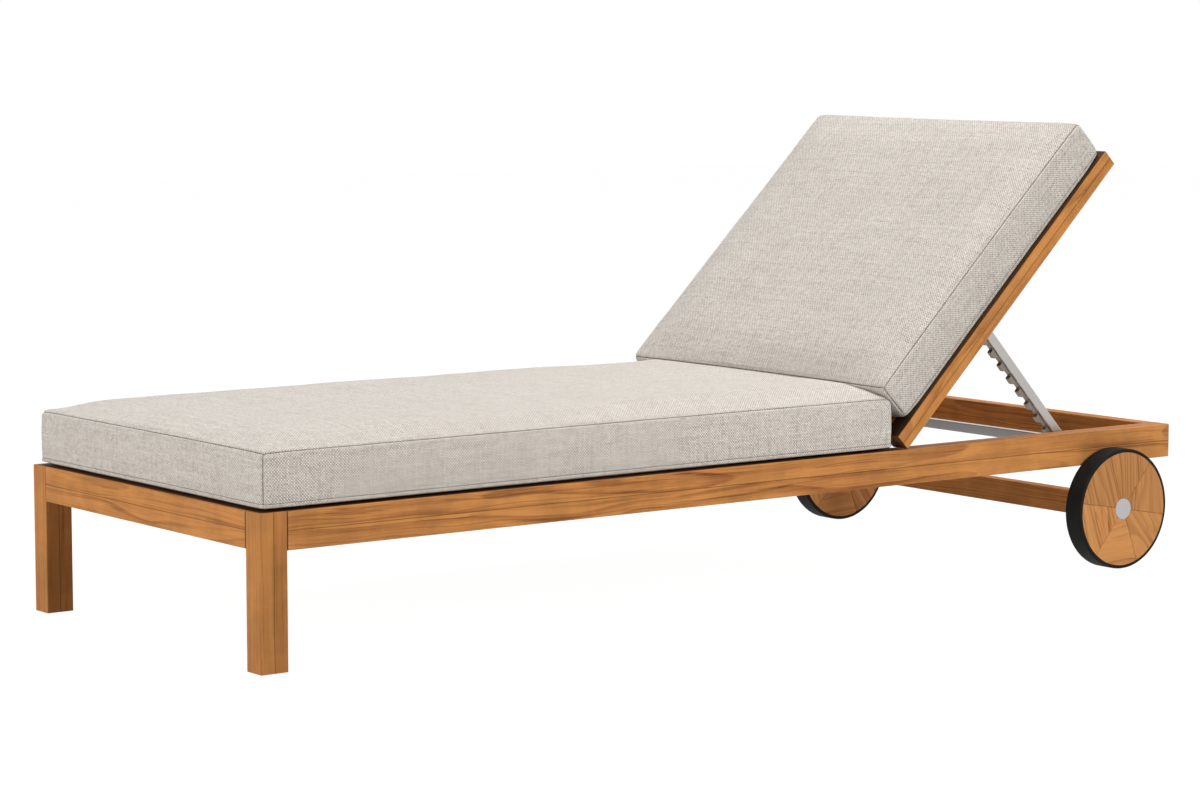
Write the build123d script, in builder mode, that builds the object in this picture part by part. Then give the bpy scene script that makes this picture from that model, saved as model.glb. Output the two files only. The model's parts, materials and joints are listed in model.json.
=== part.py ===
# A wooden sun lounger: a slatted hardwood frame on two legs and two wheels, a back that tilts on
# hinges and is propped by a notched stay, and two box cushions.
# X runs across the lounger, Y along it with the foot end at -Y, and Z up from the floor.
import os
from math import cos, radians, sin

from build123d import *

os.makedirs("parts", exist_ok=True)

# Overall sizes of the base frame.
frame_length = 2000.0
frame_width = 750.0
frame_height = 256.0

# Timber sections of the base frame.
side_rail_thickness = 40.0
side_rail_depth = 62.0
foot_rail_thickness = 30.0
foot_rail_depth = 60.0
head_rail_thickness = 30.0
head_rail_depth = 62.0
hinge_rail_thickness = 34.0
hinge_rail_depth = 60.0
leg_width = 44.0
leg_length = 50.0
eased_edge = 2.0

# Mortise and tenon joints.
tenon_thickness = 12.0
tenon_length = 22.0
tenon_shoulder = 10.0
foot_tenon_setback = 9.0

# Leg glides.
glide_radius = 12.0
glide_stand = 2.0
glide_socket = 6.0
glide_edge = 0.8

# Seat deck.
slat_thickness = 18.0
slat_width = 62.0
slat_count = 15
deck_rise = 4.0
slat_end_gap = 0.5
ledger_width = 22.0
ledger_depth = 24.0
bearer_width = 26.0
bearer_depth = 38.0

# Back hinge line and tilt.
back_bay = 659.0
rail_gap = 1.0
back_angle = 44.4

# Back frame.
stile_length = 705.0
stile_thickness = 34.0
stile_width = 40.0
back_rail_width = 60.0
bottom_rail_start = 6.0
back_slat_thickness = 14.0
back_slat_width = 46.0
back_slat_count = 8
rebate_depth = 8.0

# Butt hinges.
hinge_x = 215.0
leaf_width = 64.0
leaf_length = 30.0
leaf_thickness = 2.5
knuckle_radius = 4.5
knuckle_gap = 0.3
knuckle_relief = 0.7
pin_radius = 2.5
middle_knuckle_width = 26.0
hinge_setback = 7.0
screw_radius = 2.2
screw_head_radius = 4.2
screw_head_height = 1.2
screw_length = 22.0
screw_pitch = 40.0

# Notched stay that props the back.
stay_pivot_reach = 303.0
stay_pivot_rise = 10.0
stay_angle = 47.5
arm_width = 18.0
arm_depth = 18.0
arm_wall = 2.0
arm_gap = 6.0
arm_corner = 2.0
arm_solid_head = 22.0
rack_width = 10.0
rack_web = 2.0
tooth_depth = 7.5
notch_count = 8
notch_above = 10.2
notch_below = 7.6
last_tooth = 8.5
tooth_round = 2.2
root_round = 1.6
stay_rod_radius = 6.0
rod_end_gap = 0.5
bush_wall = 1.5
bush_depth = 18.0
bush_flange = 2.0
bush_flange_thickness = 1.5
plug_head = 2.0
plug_insert = 14.0

# Catch bar that the stay drops on.
catch_bar_radius = 7.0
catch_bar_z = 240.0
catch_bar_socket = 15.0
catch_rail_depth = 14.0
catch_rail_height = 18.0
catch_rail_corner = 1.5
catch_rail_gap = 9.0
rosette_radius = 15.0
rosette_thickness = 2.0
catch_clearance = 0.3

# Wheels and axle.
wheel_setback = 160.0
wheel_radius = 112.0
wheel_width = 39.0
tyre_thickness = 6.5
tyre_round = 2.5
wheel_gap = 3.0
wheel_segment_count = 6
segment_gap = 0.3
wheel_chamfer = 0.8
segment_turn = 50.0
axle_radius = 7.0
axle_seat = 60.0
axle_beam_thickness = 26.0
axle_beam_depth = 44.0
post_length = 46.0
hub_bush_wall = 4.0
hub_recess_radius = 20.0
hub_recess_depth = 11.0
hub_cap_thickness = 3.0
hub_cap_rim = 2.0
hub_cap_lip = 5.0
clip_radius = 12.0
clip_thickness = 1.5
clip_gap = 0.5
washer_radius = 15.0
washer_gap = 0.5
axle_end_gap = 2.0

# Cushions.
cushion_inset = 7.0
cushion_clearance = 0.3
cushion_contact_gap = 0.6
seat_cushion_thickness = 86.0
seat_cushion_start = 9.0
seat_cushion_gap = 38.0
back_cushion_thickness = 84.0
back_cushion_start = 38.0
back_cushion_length = 663.0
cushion_crown = 18.0
cushion_shoulder = 120.0
cushion_draw = 4.0
cushion_corner = 9.0
cushion_edge = 7.0

# Running clearance of pins and axles.
running_clearance = 0.05
cut_overrun = 1.0

# Places worked out from the sizes above.
half_length = frame_length / 2
half_width = frame_width / 2
hinge_y = half_length - back_bay
wheel_y = half_length - wheel_setback
rail_inner_x = half_width - side_rail_thickness
rail_centre_x = half_width - side_rail_thickness / 2
leg_inner_x = half_width - leg_width
leg_top_y = -half_length + leg_length
deck_top = frame_height + deck_rise
slat_underside = deck_top - slat_thickness
foot_rail_inner_y = -half_length + foot_rail_thickness
hinge_z = frame_height + rail_gap
back_slat_seat = stile_thickness - back_slat_thickness
hinge_rail_rear_y = hinge_y - hinge_setback
hinge_rail_front_y = hinge_rail_rear_y - hinge_rail_thickness
tilt = radians(back_angle)
stay_tilt = radians(stay_angle)
sides = (("left", -1), ("right", 1))

back_plane = Plane(origin=(0, hinge_y, hinge_z), x_dir=(1, 0, 0), z_dir=(0, -sin(tilt), cos(tilt)))
stay_pivot = back_plane.from_local_coords(Vector(0, stay_pivot_reach, stay_pivot_rise))
stay_side = Plane(origin=stay_pivot, x_dir=(0, cos(stay_tilt), -sin(stay_tilt)), z_dir=(1, 0, 0))

# The bar sits under the arms in the last notch, one clearance below the notch's root.
notch_root = arm_depth / 2 + rack_web
catch_drop = notch_root + catch_clearance + catch_bar_radius
engaged_notch = (stay_pivot.Z - catch_bar_z - catch_drop * cos(stay_tilt)) / sin(stay_tilt)
catch_bar_y = stay_pivot.Y + engaged_notch * cos(stay_tilt) - catch_drop * sin(stay_tilt)
flat_notch = catch_bar_y - (hinge_y + stay_pivot_reach)
notch_pitch = (engaged_notch - flat_notch) / (notch_count - 2)
arm_length = engaged_notch + notch_below + last_tooth
rack_start = engaged_notch - notch_pitch * (notch_count - 1) - notch_pitch / 2
arm_outer_x = rail_inner_x - arm_gap
arm_centre_x = arm_outer_x - arm_width / 2

wheel_inner_x = half_width + wheel_gap
wheel_outer_x = wheel_inner_x + wheel_width
disc_radius = wheel_radius - tyre_thickness
beam_bottom = wheel_radius - axle_beam_depth / 2
side_rail_bottom = frame_height - side_rail_depth
hub_floor_x = wheel_outer_x - hub_recess_depth
hub_bush_radius = axle_radius + hub_bush_wall


def save(piece, label):
    """Label a finished piece and write it as its own file."""
    piece.label = label
    export_step(piece, f"parts/{label}.step")


def ease_long_edges(piece, axis, radius=eased_edge):
    """Round the longest edges that run along an axis, as a planed board is eased."""
    fillet(piece.edges().filter_by(axis).group_by(SortBy.LENGTH)[-1], radius)


def cross_tenon_cut(centre_y, depth, thickness, centre_z):
    """Tenon of a cross rail, drawn across the whole frame to cut its mortises or join its ends."""
    with BuildSketch(Plane.YZ.offset(-rail_inner_x - tenon_length)) as tenon:
        with Locations((centre_y, centre_z)):
            Rectangle(thickness, depth - 2 * tenon_shoulder)
    return tenon.sketch


# Side rails, with a tenon into each leg and mortises for the cross rails.
head_rail_y = half_length - head_rail_thickness / 2
head_rail_z = frame_height - head_rail_depth / 2
hinge_rail_y = hinge_rail_rear_y - hinge_rail_thickness / 2
hinge_rail_z = frame_height - hinge_rail_depth / 2
side_rail_z = frame_height - side_rail_depth / 2
cross_joints = (
    (head_rail_y, head_rail_depth, head_rail_z),
    (hinge_rail_y, hinge_rail_depth, hinge_rail_z),
)

for side, sign in sides:
    with BuildPart() as side_rail:
        with BuildSketch(Plane.YZ.offset(sign * rail_inner_x)):
            with Locations(((half_length + leg_top_y) / 2, side_rail_z)):
                Rectangle(half_length - leg_top_y, side_rail_depth)
        extrude(amount=sign * side_rail_thickness)
        ease_long_edges(side_rail, Axis.Y)
        with BuildSketch(Plane.XZ.offset(-leg_top_y)):
            with Locations((sign * rail_centre_x, side_rail_z)):
                Rectangle(tenon_thickness, side_rail_depth - 2 * tenon_shoulder)
        extrude(amount=tenon_length)
        for joint_y, joint_depth, joint_z in cross_joints:
            extrude(
                cross_tenon_cut(joint_y, joint_depth, tenon_thickness, joint_z),
                amount=2 * (rail_inner_x + tenon_length),
                mode=Mode.SUBTRACT,
            )
        with BuildSketch(Plane.YZ.offset(sign * rail_inner_x)):
            with Locations((catch_bar_y, catch_bar_z)):
                Circle(catch_bar_radius)
        extrude(amount=sign * catch_bar_socket, mode=Mode.SUBTRACT)
    save(side_rail.part, f"side_rail_{side}")

# Legs, flush with the rails on their outer faces, with mortises for both rails.
foot_rail_y = -half_length + foot_rail_thickness / 2
foot_rail_z = frame_height - foot_rail_depth / 2
foot_tenon_y = -half_length + foot_tenon_setback + tenon_thickness / 2

for side, sign in sides:
    with BuildPart() as leg:
        with BuildSketch(Plane.XY.offset(glide_stand)):
            with Locations((sign * (half_width - leg_width / 2), -half_length + leg_length / 2)):
                Rectangle(leg_width, leg_length)
        extrude(amount=frame_height - glide_stand)
        fillet(leg.edges().filter_by(Axis.Z), eased_edge)
        with BuildSketch(Plane.XZ.offset(-leg_top_y)):
            with Locations((sign * rail_centre_x, side_rail_z)):
                Rectangle(tenon_thickness, side_rail_depth - 2 * tenon_shoulder)
        extrude(amount=tenon_length, mode=Mode.SUBTRACT)
        with BuildSketch(Plane.YZ.offset(sign * leg_inner_x)):
            with Locations((foot_tenon_y, foot_rail_z)):
                Rectangle(tenon_thickness, foot_rail_depth - 2 * tenon_shoulder)
        extrude(amount=sign * tenon_length, mode=Mode.SUBTRACT)
        with BuildSketch(Plane.XY.offset(glide_stand)):
            with Locations((sign * (half_width - leg_width / 2), -half_length + leg_length / 2)):
                Circle(glide_radius)
        extrude(amount=glide_socket, mode=Mode.SUBTRACT)
    save(leg.part, f"leg_{side}")

with BuildPart() as leg_glides:
    with BuildSketch(Plane.XY):
        with Locations(
            (half_width - leg_width / 2, -half_length + leg_length / 2),
            (-half_width + leg_width / 2, -half_length + leg_length / 2),
        ):
            Circle(glide_radius)
    extrude(amount=glide_stand + glide_socket)
    chamfer(leg_glides.faces().group_by(Axis.Z)[0].edges(), glide_edge)
save(leg_glides.part, "leg_glides")

# Foot rail between the legs, with its tenons.
with BuildPart() as foot_rail:
    with BuildSketch(Plane.YZ):
        with Locations((foot_rail_y, foot_rail_z)):
            Rectangle(foot_rail_thickness, foot_rail_depth)
    extrude(amount=leg_inner_x, both=True)
    ease_long_edges(foot_rail, Axis.X)
    with BuildSketch(Plane.YZ):
        with Locations((foot_tenon_y, foot_rail_z)):
            Rectangle(tenon_thickness, foot_rail_depth - 2 * tenon_shoulder)
    extrude(amount=leg_inner_x + tenon_length, both=True)
save(foot_rail.part, "foot_rail")

# Head rail between the side rails.
with BuildPart() as head_rail:
    with BuildSketch(Plane.YZ):
        with Locations((head_rail_y, head_rail_z)):
            Rectangle(head_rail_thickness, head_rail_depth)
    extrude(amount=rail_inner_x, both=True)
    ease_long_edges(head_rail, Axis.X)
    with BuildSketch(Plane.YZ):
        with Locations((head_rail_y, head_rail_z)):
            Rectangle(tenon_thickness, head_rail_depth - 2 * tenon_shoulder)
    extrude(amount=rail_inner_x + tenon_length, both=True)
save(head_rail.part, "head_rail")

# Hinge rail across the frame, with recesses for the hinge leaves and pilot holes for their screws.
leaf_front_y = hinge_y - knuckle_radius - knuckle_relief - leaf_length
leaf_centre_y = leaf_front_y + leaf_length / 2
hinge_places = [(sign * hinge_x, 0) for side, sign in sides]
base_screw_places = [
    (sign * hinge_x + way * screw_pitch / 2, leaf_centre_y) for side, sign in sides for way in (-1, 1)
]

with BuildPart() as hinge_rail:
    with BuildSketch(Plane.YZ):
        with Locations((hinge_rail_y, hinge_rail_z)):
            Rectangle(hinge_rail_thickness, hinge_rail_depth)
    extrude(amount=rail_inner_x, both=True)
    ease_long_edges(hinge_rail, Axis.X)
    with BuildSketch(Plane.YZ):
        with Locations((hinge_rail_y, hinge_rail_z)):
            Rectangle(tenon_thickness, hinge_rail_depth - 2 * tenon_shoulder)
    extrude(amount=rail_inner_x + tenon_length, both=True)
    with BuildSketch(Plane.XY.offset(frame_height - leaf_thickness)):
        with Locations(*[(x, leaf_front_y + leaf_length) for x, y in hinge_places]):
            Rectangle(leaf_width, 2 * leaf_length)
    extrude(amount=leaf_thickness + cut_overrun, mode=Mode.SUBTRACT)
    with BuildSketch(Plane.XY.offset(frame_height - leaf_thickness)):
        with Locations(*base_screw_places):
            Circle(screw_radius)
    extrude(amount=-screw_length, mode=Mode.SUBTRACT)
save(hinge_rail.part, "hinge_rail")

# Ledgers along the side rails and a centre bearer carry the seat slats.
ledger_foot_y = leg_top_y
ledger_length = hinge_rail_front_y - ledger_foot_y

for side, sign in sides:
    with BuildPart() as ledger:
        with BuildSketch(Plane.YZ.offset(sign * rail_inner_x)):
            with Locations((ledger_foot_y + ledger_length / 2, slat_underside - ledger_depth / 2)):
                Rectangle(ledger_length, ledger_depth)
        extrude(amount=-sign * ledger_width)
        ease_long_edges(ledger, Axis.Y)
    save(ledger.part, f"seat_ledger_{side}")

bearer_length = hinge_rail_front_y - foot_rail_inner_y

with BuildPart() as centre_bearer:
    with BuildSketch(Plane.XY.offset(slat_underside)):
        with Locations((0, foot_rail_inner_y + bearer_length / 2)):
            Rectangle(bearer_width, bearer_length)
    extrude(amount=-bearer_depth)
    ease_long_edges(centre_bearer, Axis.Y)
save(centre_bearer.part, "centre_bearer")

# Seat slats, evenly spaced from the legs to the hinge rail.
slat_spacing = (ledger_length - 2 * slat_end_gap - slat_width) / (slat_count - 1)

with BuildPart() as seat_slats:
    with BuildSketch(Plane.XY.offset(slat_underside)):
        with Locations((0, ledger_foot_y + ledger_length / 2)):
            with GridLocations(0, slat_spacing, 1, slat_count):
                Rectangle(2 * (rail_inner_x - slat_end_gap), slat_width)
    extrude(amount=slat_thickness)
    fillet(seat_slats.faces().group_by(Axis.Z)[-1].edges().filter_by(Axis.X), eased_edge)
save(seat_slats.part, "seat_slats")

# Posts under the side rails carry the axle beam and the stub axles.
for side, sign in sides:
    with BuildPart() as post:
        with BuildSketch(Plane.YZ.offset(sign * rail_inner_x)):
            with Locations((wheel_y, (side_rail_bottom + beam_bottom) / 2)):
                Rectangle(post_length, side_rail_bottom - beam_bottom)
        extrude(amount=sign * side_rail_thickness)
        fillet(post.edges().filter_by(Axis.Z), eased_edge)
        with BuildSketch(Plane.YZ.offset(sign * rail_inner_x)):
            with Locations((wheel_y, wheel_radius)):
                Circle(axle_radius)
        extrude(amount=sign * side_rail_thickness, mode=Mode.SUBTRACT)
    save(post.part, f"wheel_post_{side}")

with BuildPart() as axle_beam:
    with BuildSketch(Plane.YZ):
        with Locations((wheel_y, wheel_radius)):
            Rectangle(axle_beam_thickness, axle_beam_depth)
    extrude(amount=rail_inner_x, both=True)
    ease_long_edges(axle_beam, Axis.X)
    for side, sign in sides:
        with BuildSketch(Plane.YZ.offset(sign * rail_inner_x)):
            with Locations((wheel_y, wheel_radius)):
                Circle(axle_radius)
        extrude(amount=-sign * axle_seat, mode=Mode.SUBTRACT)
save(axle_beam.part, "axle_beam")

# Stub axles, pressed into the beam and the posts.
axle_tip_x = wheel_outer_x - hub_cap_thickness - axle_end_gap
clip_x = hub_floor_x + clip_gap

for side, sign in sides:
    with BuildPart() as stub_axle:
        with BuildSketch(Plane.YZ.offset(sign * (rail_inner_x - axle_seat))):
            with Locations((wheel_y, wheel_radius)):
                Circle(axle_radius)
        extrude(amount=sign * (axle_tip_x - rail_inner_x + axle_seat))
        chamfer(stub_axle.edges().filter_by(GeomType.CIRCLE), wheel_chamfer)
    save(stub_axle.part, f"stub_axle_{side}")

with BuildPart() as axle_clips:
    for side, sign in sides:
        with BuildSketch(Plane.YZ.offset(sign * clip_x)):
            with Locations((wheel_y, wheel_radius)):
                Circle(clip_radius)
                Circle(axle_radius, mode=Mode.SUBTRACT)
        extrude(amount=sign * clip_thickness)
save(axle_clips.part, "axle_clips")

with BuildPart() as thrust_washers:
    for side, sign in sides:
        with BuildSketch(Plane.YZ.offset(sign * half_width)):
            with Locations((wheel_y, wheel_radius)):
                Circle(washer_radius)
                Circle(axle_radius, mode=Mode.SUBTRACT)
        extrude(amount=sign * (wheel_gap - washer_gap))
save(thrust_washers.part, "thrust_washers")

# Wheels: a disc of wooden segments round a bush, a rubber tyre and a steel cap.
for side, sign in sides:
    inner_face = Plane.YZ.offset(sign * wheel_inner_x)
    outer_face = Plane.YZ.offset(sign * wheel_outer_x)

    with BuildPart() as wheel_disc:
        with BuildSketch(inner_face):
            with Locations((wheel_y, wheel_radius)):
                Circle(disc_radius)
                Circle(hub_bush_radius, mode=Mode.SUBTRACT)
        extrude(amount=sign * wheel_width)
        with BuildSketch(outer_face):
            with Locations((wheel_y, wheel_radius)):
                Circle(hub_recess_radius)
        extrude(amount=-sign * hub_recess_depth, mode=Mode.SUBTRACT)
        with BuildSketch(inner_face.offset(-sign * cut_overrun)):
            with Locations((wheel_y, wheel_radius)):
                with PolarLocations(0, wheel_segment_count // 2, segment_turn, 180):
                    Rectangle(2 * wheel_radius, segment_gap)
        extrude(amount=sign * (wheel_width + 2 * cut_overrun), mode=Mode.SUBTRACT)
        rims = wheel_disc.faces().filter_by(Axis.X).edges().filter_by(GeomType.LINE)
        chamfer(rims.filter_by(Axis.X, reverse=True), wheel_chamfer)
    save(wheel_disc.part, f"wheel_disc_{side}")

    with BuildPart() as tyre:
        with BuildSketch(inner_face):
            with Locations((wheel_y, wheel_radius)):
                Circle(wheel_radius)
                Circle(disc_radius, mode=Mode.SUBTRACT)
        extrude(amount=sign * wheel_width)
        fillet(tyre.edges().filter_by(GeomType.CIRCLE).group_by(SortBy.RADIUS)[-1], tyre_round)
    save(tyre.part, f"tyre_{side}")

    with BuildPart() as hub_bush:
        with BuildSketch(inner_face):
            with Locations((wheel_y, wheel_radius)):
                Circle(hub_bush_radius)
                Circle(axle_radius + running_clearance, mode=Mode.SUBTRACT)
        extrude(amount=sign * (wheel_width - hub_recess_depth))
    save(hub_bush.part, f"hub_bush_{side}")

    with BuildPart() as hub_cap:
        with BuildSketch(outer_face):
            with Locations((wheel_y, wheel_radius)):
                Circle(hub_recess_radius)
        extrude(amount=-sign * hub_cap_thickness)
        with BuildSketch(outer_face.offset(-sign * hub_cap_thickness)):
            with Locations((wheel_y, wheel_radius)):
                Circle(hub_recess_radius)
                Circle(hub_recess_radius - hub_cap_rim, mode=Mode.SUBTRACT)
        extrude(amount=-sign * hub_cap_lip)
        chamfer(hub_cap.faces().sort_by(Axis.X)[-1 if sign > 0 else 0].edges(), wheel_chamfer)
    save(hub_cap.part, f"hub_cap_{side}")

# Catch bar across the frame: a rectangular rail between the arms, with round ends under them that
# are let into the side rails through two rosettes.
with BuildPart() as catch_bar:
    with BuildSketch(Plane.YZ):
        with Locations((catch_bar_y, catch_bar_z)):
            Circle(catch_bar_radius)
    extrude(amount=rail_inner_x + catch_bar_socket, both=True)
    with BuildSketch(Plane.YZ):
        with Locations((catch_bar_y, catch_bar_z)):
            RectangleRounded(catch_rail_depth, catch_rail_height, catch_rail_corner)
    extrude(amount=arm_centre_x - arm_width / 2 - catch_rail_gap, both=True)
save(catch_bar.part, "catch_bar")

with BuildPart() as catch_rosettes:
    for side, sign in sides:
        with BuildSketch(Plane.YZ.offset(sign * rail_inner_x)):
            with Locations((catch_bar_y, catch_bar_z)):
                Circle(rosette_radius)
                Circle(catch_bar_radius, mode=Mode.SUBTRACT)
        extrude(amount=-sign * rosette_thickness)
save(catch_rosettes.part, "catch_bar_rosettes")

# Hinges: fixed leaves in the hinge rail, moving leaves on the back, and their pins.
outer_knuckle_width = (leaf_width - middle_knuckle_width) / 2
base_leaf_plane = Plane.XY.offset(frame_height - leaf_thickness)
back_leaf_plane = back_plane.offset(-leaf_thickness)

with BuildPart() as hinge_leaves_base:
    with BuildSketch(base_leaf_plane):
        for side, sign in sides:
            with Locations((sign * hinge_x, leaf_centre_y)):
                Rectangle(leaf_width, leaf_length)
            for way in (-1, 1):
                knuckle_x = sign * hinge_x + way * (leaf_width - outer_knuckle_width) / 2
                with Locations((knuckle_x, (leaf_front_y + leaf_length + hinge_y) / 2)):
                    Rectangle(outer_knuckle_width, hinge_y - leaf_front_y - leaf_length)
    extrude(amount=leaf_thickness)
    for side, sign in sides:
        for way in (-1, 1):
            knuckle_x = sign * hinge_x + way * leaf_width / 2
            with BuildSketch(Plane.YZ.offset(knuckle_x)):
                with Locations((hinge_y, hinge_z)):
                    Circle(knuckle_radius)
            extrude(amount=-way * outer_knuckle_width)
    with BuildSketch(Plane.YZ):
        with Locations((hinge_y, hinge_z)):
            Circle(pin_radius)
    extrude(amount=half_width, both=True, mode=Mode.SUBTRACT)
    with BuildSketch(base_leaf_plane):
        with Locations(*base_screw_places):
            Circle(screw_radius)
    extrude(amount=leaf_thickness, mode=Mode.SUBTRACT)
save(hinge_leaves_base.part, "hinge_leaves_base")

back_leaf_start = knuckle_radius + knuckle_relief
back_leaf_centre = back_leaf_start + leaf_length / 2
back_screw_places = [
    (sign * hinge_x + way * screw_pitch / 2, back_leaf_centre) for side, sign in sides for way in (-1, 1)
]

with BuildPart() as hinge_leaves_back:
    with BuildSketch(back_leaf_plane):
        for side, sign in sides:
            with Locations((sign * hinge_x, back_leaf_centre)):
                Rectangle(leaf_width, leaf_length)
            with Locations((sign * hinge_x, back_leaf_start / 2)):
                Rectangle(middle_knuckle_width - 2 * knuckle_gap, back_leaf_start)
    extrude(amount=leaf_thickness)
    for side, sign in sides:
        with BuildSketch(Plane.YZ.offset(sign * hinge_x)):
            with Locations((hinge_y, hinge_z)):
                Circle(knuckle_radius)
        extrude(amount=middle_knuckle_width / 2 - knuckle_gap, both=True)
    with BuildSketch(Plane.YZ):
        with Locations((hinge_y, hinge_z)):
            Circle(pin_radius + running_clearance)
    extrude(amount=half_width, both=True, mode=Mode.SUBTRACT)
    with BuildSketch(back_leaf_plane):
        with Locations(*back_screw_places):
            Circle(screw_radius)
    extrude(amount=leaf_thickness, mode=Mode.SUBTRACT)
save(hinge_leaves_back.part, "hinge_leaves_back")

with BuildPart() as hinge_pins:
    for side, sign in sides:
        with BuildSketch(Plane.YZ.offset(sign * hinge_x)):
            with Locations((hinge_y, hinge_z)):
                Circle(pin_radius)
        extrude(amount=leaf_width / 2, both=True)
save(hinge_pins.part, "hinge_pins")

with BuildPart() as hinge_screws_base:
    with BuildSketch(Plane.XY.offset(frame_height)):
        with Locations(*base_screw_places):
            Circle(screw_radius)
    extrude(amount=-screw_length)
    with BuildSketch(Plane.XY.offset(frame_height)):
        with Locations(*base_screw_places):
            Circle(screw_head_radius)
    extrude(amount=screw_head_height)
save(hinge_screws_base.part, "hinge_screws_base")

with BuildPart() as hinge_screws_back:
    with BuildSketch(back_leaf_plane):
        with Locations(*back_screw_places):
            Circle(screw_radius)
    extrude(amount=screw_length)
    with BuildSketch(back_leaf_plane):
        with Locations(*back_screw_places):
            Circle(screw_head_radius)
    extrude(amount=-screw_head_height)
save(hinge_screws_back.part, "hinge_screws_back")

# Back stiles, rebated for the slat ends and bored for the stay's bushes.
stile_inner_x = half_width - stile_width
slat_field_start = bottom_rail_start + back_rail_width
slat_field_end = stile_length - back_rail_width
slat_field_centre = (slat_field_start + slat_field_end) / 2
bush_radius = stay_rod_radius + running_clearance + bush_wall

for side, sign in sides:
    with BuildPart() as stile:
        with BuildSketch(back_plane):
            with Locations((sign * (half_width - stile_width / 2), stile_length / 2)):
                Rectangle(stile_width, stile_length)
        extrude(amount=stile_thickness)
        fillet(stile.edges().group_by(SortBy.LENGTH)[-1], eased_edge)
        with BuildSketch(back_plane.offset(back_slat_seat)):
            with Locations((sign * (stile_inner_x + rebate_depth / 2), slat_field_centre)):
                Rectangle(rebate_depth, slat_field_end - slat_field_start)
        extrude(amount=back_slat_thickness + cut_overrun, mode=Mode.SUBTRACT)
        with BuildSketch(Plane.YZ.offset(sign * stile_inner_x)):
            with Locations((stay_pivot.Y, stay_pivot.Z)):
                Circle(bush_radius)
        extrude(amount=sign * bush_depth, mode=Mode.SUBTRACT)
    save(stile.part, f"back_stile_{side}")

# Back rails between the stiles, butted and glued at their ends.
back_rails = (("back_bottom_rail", bottom_rail_start), ("back_top_rail", stile_length - back_rail_width))

for label, start in back_rails:
    with BuildPart() as back_rail:
        with BuildSketch(back_plane):
            with Locations((0, start + back_rail_width / 2)):
                Rectangle(2 * stile_inner_x, back_rail_width)
        extrude(amount=stile_thickness)
        ease_long_edges(back_rail, Axis.X)
        if start == bottom_rail_start:
            with BuildSketch(back_plane):
                with Locations(*back_screw_places):
                    Circle(screw_radius)
            extrude(amount=screw_length - leaf_thickness, mode=Mode.SUBTRACT)
    save(back_rail.part, label)

# Back slats, let into the stiles' rebates and flush with their front faces.
back_slat_space = (slat_field_end - slat_field_start - back_slat_count * back_slat_width) / back_slat_count
back_slat_spacing = back_slat_width + back_slat_space

with BuildPart() as back_slats:
    with BuildSketch(back_plane.offset(back_slat_seat)):
        with Locations((0, slat_field_centre)):
            with GridLocations(0, back_slat_spacing, 1, back_slat_count):
                Rectangle(2 * (stile_inner_x + rebate_depth), back_slat_width)
    extrude(amount=back_slat_thickness)
save(back_slats.part, "back_slats")

# Stay: a rod from stile to stile, two rectangular arms on it and a notched rack under each arm.
with BuildPart() as stay_bushes:
    for side, sign in sides:
        with BuildSketch(Plane.YZ.offset(sign * stile_inner_x)):
            with Locations((stay_pivot.Y, stay_pivot.Z)):
                Circle(bush_radius)
                Circle(stay_rod_radius + running_clearance, mode=Mode.SUBTRACT)
        extrude(amount=sign * bush_depth)
        with BuildSketch(Plane.YZ.offset(sign * stile_inner_x)):
            with Locations((stay_pivot.Y, stay_pivot.Z)):
                Circle(bush_radius + bush_flange)
                Circle(stay_rod_radius + running_clearance, mode=Mode.SUBTRACT)
        extrude(amount=-sign * bush_flange_thickness)
save(stay_bushes.part, "stay_bushes")

with BuildPart() as stay_rod:
    with BuildSketch(Plane.YZ):
        with Locations((stay_pivot.Y, stay_pivot.Z)):
            Circle(stay_rod_radius)
    extrude(amount=stile_inner_x + bush_depth - rod_end_gap, both=True)
save(stay_rod.part, "stay_rod")

for side, sign in sides:
    arm_side = stay_side.offset(sign * arm_centre_x - arm_width / 2)

    with BuildPart() as stay_arm:
        with BuildSketch(arm_side):
            with Locations((arm_length / 2, 0)):
                Rectangle(arm_length, arm_depth)
            Circle(arm_depth / 2)
        extrude(amount=arm_width)
        fillet(stay_arm.edges().group_by(SortBy.LENGTH)[-1], arm_corner)
        with BuildSketch(arm_side.offset(arm_wall)):
            with Locations(((arm_length + arm_solid_head) / 2, 0)):
                Rectangle(arm_length - arm_solid_head, arm_depth - 2 * arm_wall)
        extrude(amount=arm_width - 2 * arm_wall, mode=Mode.SUBTRACT)
        with BuildSketch(arm_side):
            Circle(stay_rod_radius)
        extrude(amount=arm_width, mode=Mode.SUBTRACT)
    save(stay_arm.part, f"stay_arm_{side}")

    rack_side = stay_side.offset(sign * arm_centre_x - rack_width / 2)
    rack_depth = rack_web + tooth_depth

    with BuildPart() as stay_rack:
        with BuildSketch(rack_side) as rack_outline:
            with Locations(((rack_start + arm_length) / 2, -(arm_depth + rack_depth) / 2)):
                Rectangle(arm_length - rack_start, rack_depth)
            for number in range(notch_count):
                notch = engaged_notch - number * notch_pitch
                with Locations((notch + (notch_below - notch_above) / 2, -notch_root - tooth_depth / 2)):
                    Rectangle(notch_above + notch_below, tooth_depth, mode=Mode.SUBTRACT)
            tips = rack_outline.vertices().group_by(Axis.Y)[0]
            fillet(tips, tooth_round)
            roots = rack_outline.vertices().filter_by_position(
                Axis.Y, -notch_root - running_clearance, -notch_root + running_clearance
            )
            fillet(roots, root_round)
        extrude(amount=rack_width)
    save(stay_rack.part, f"stay_rack_{side}")

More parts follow.
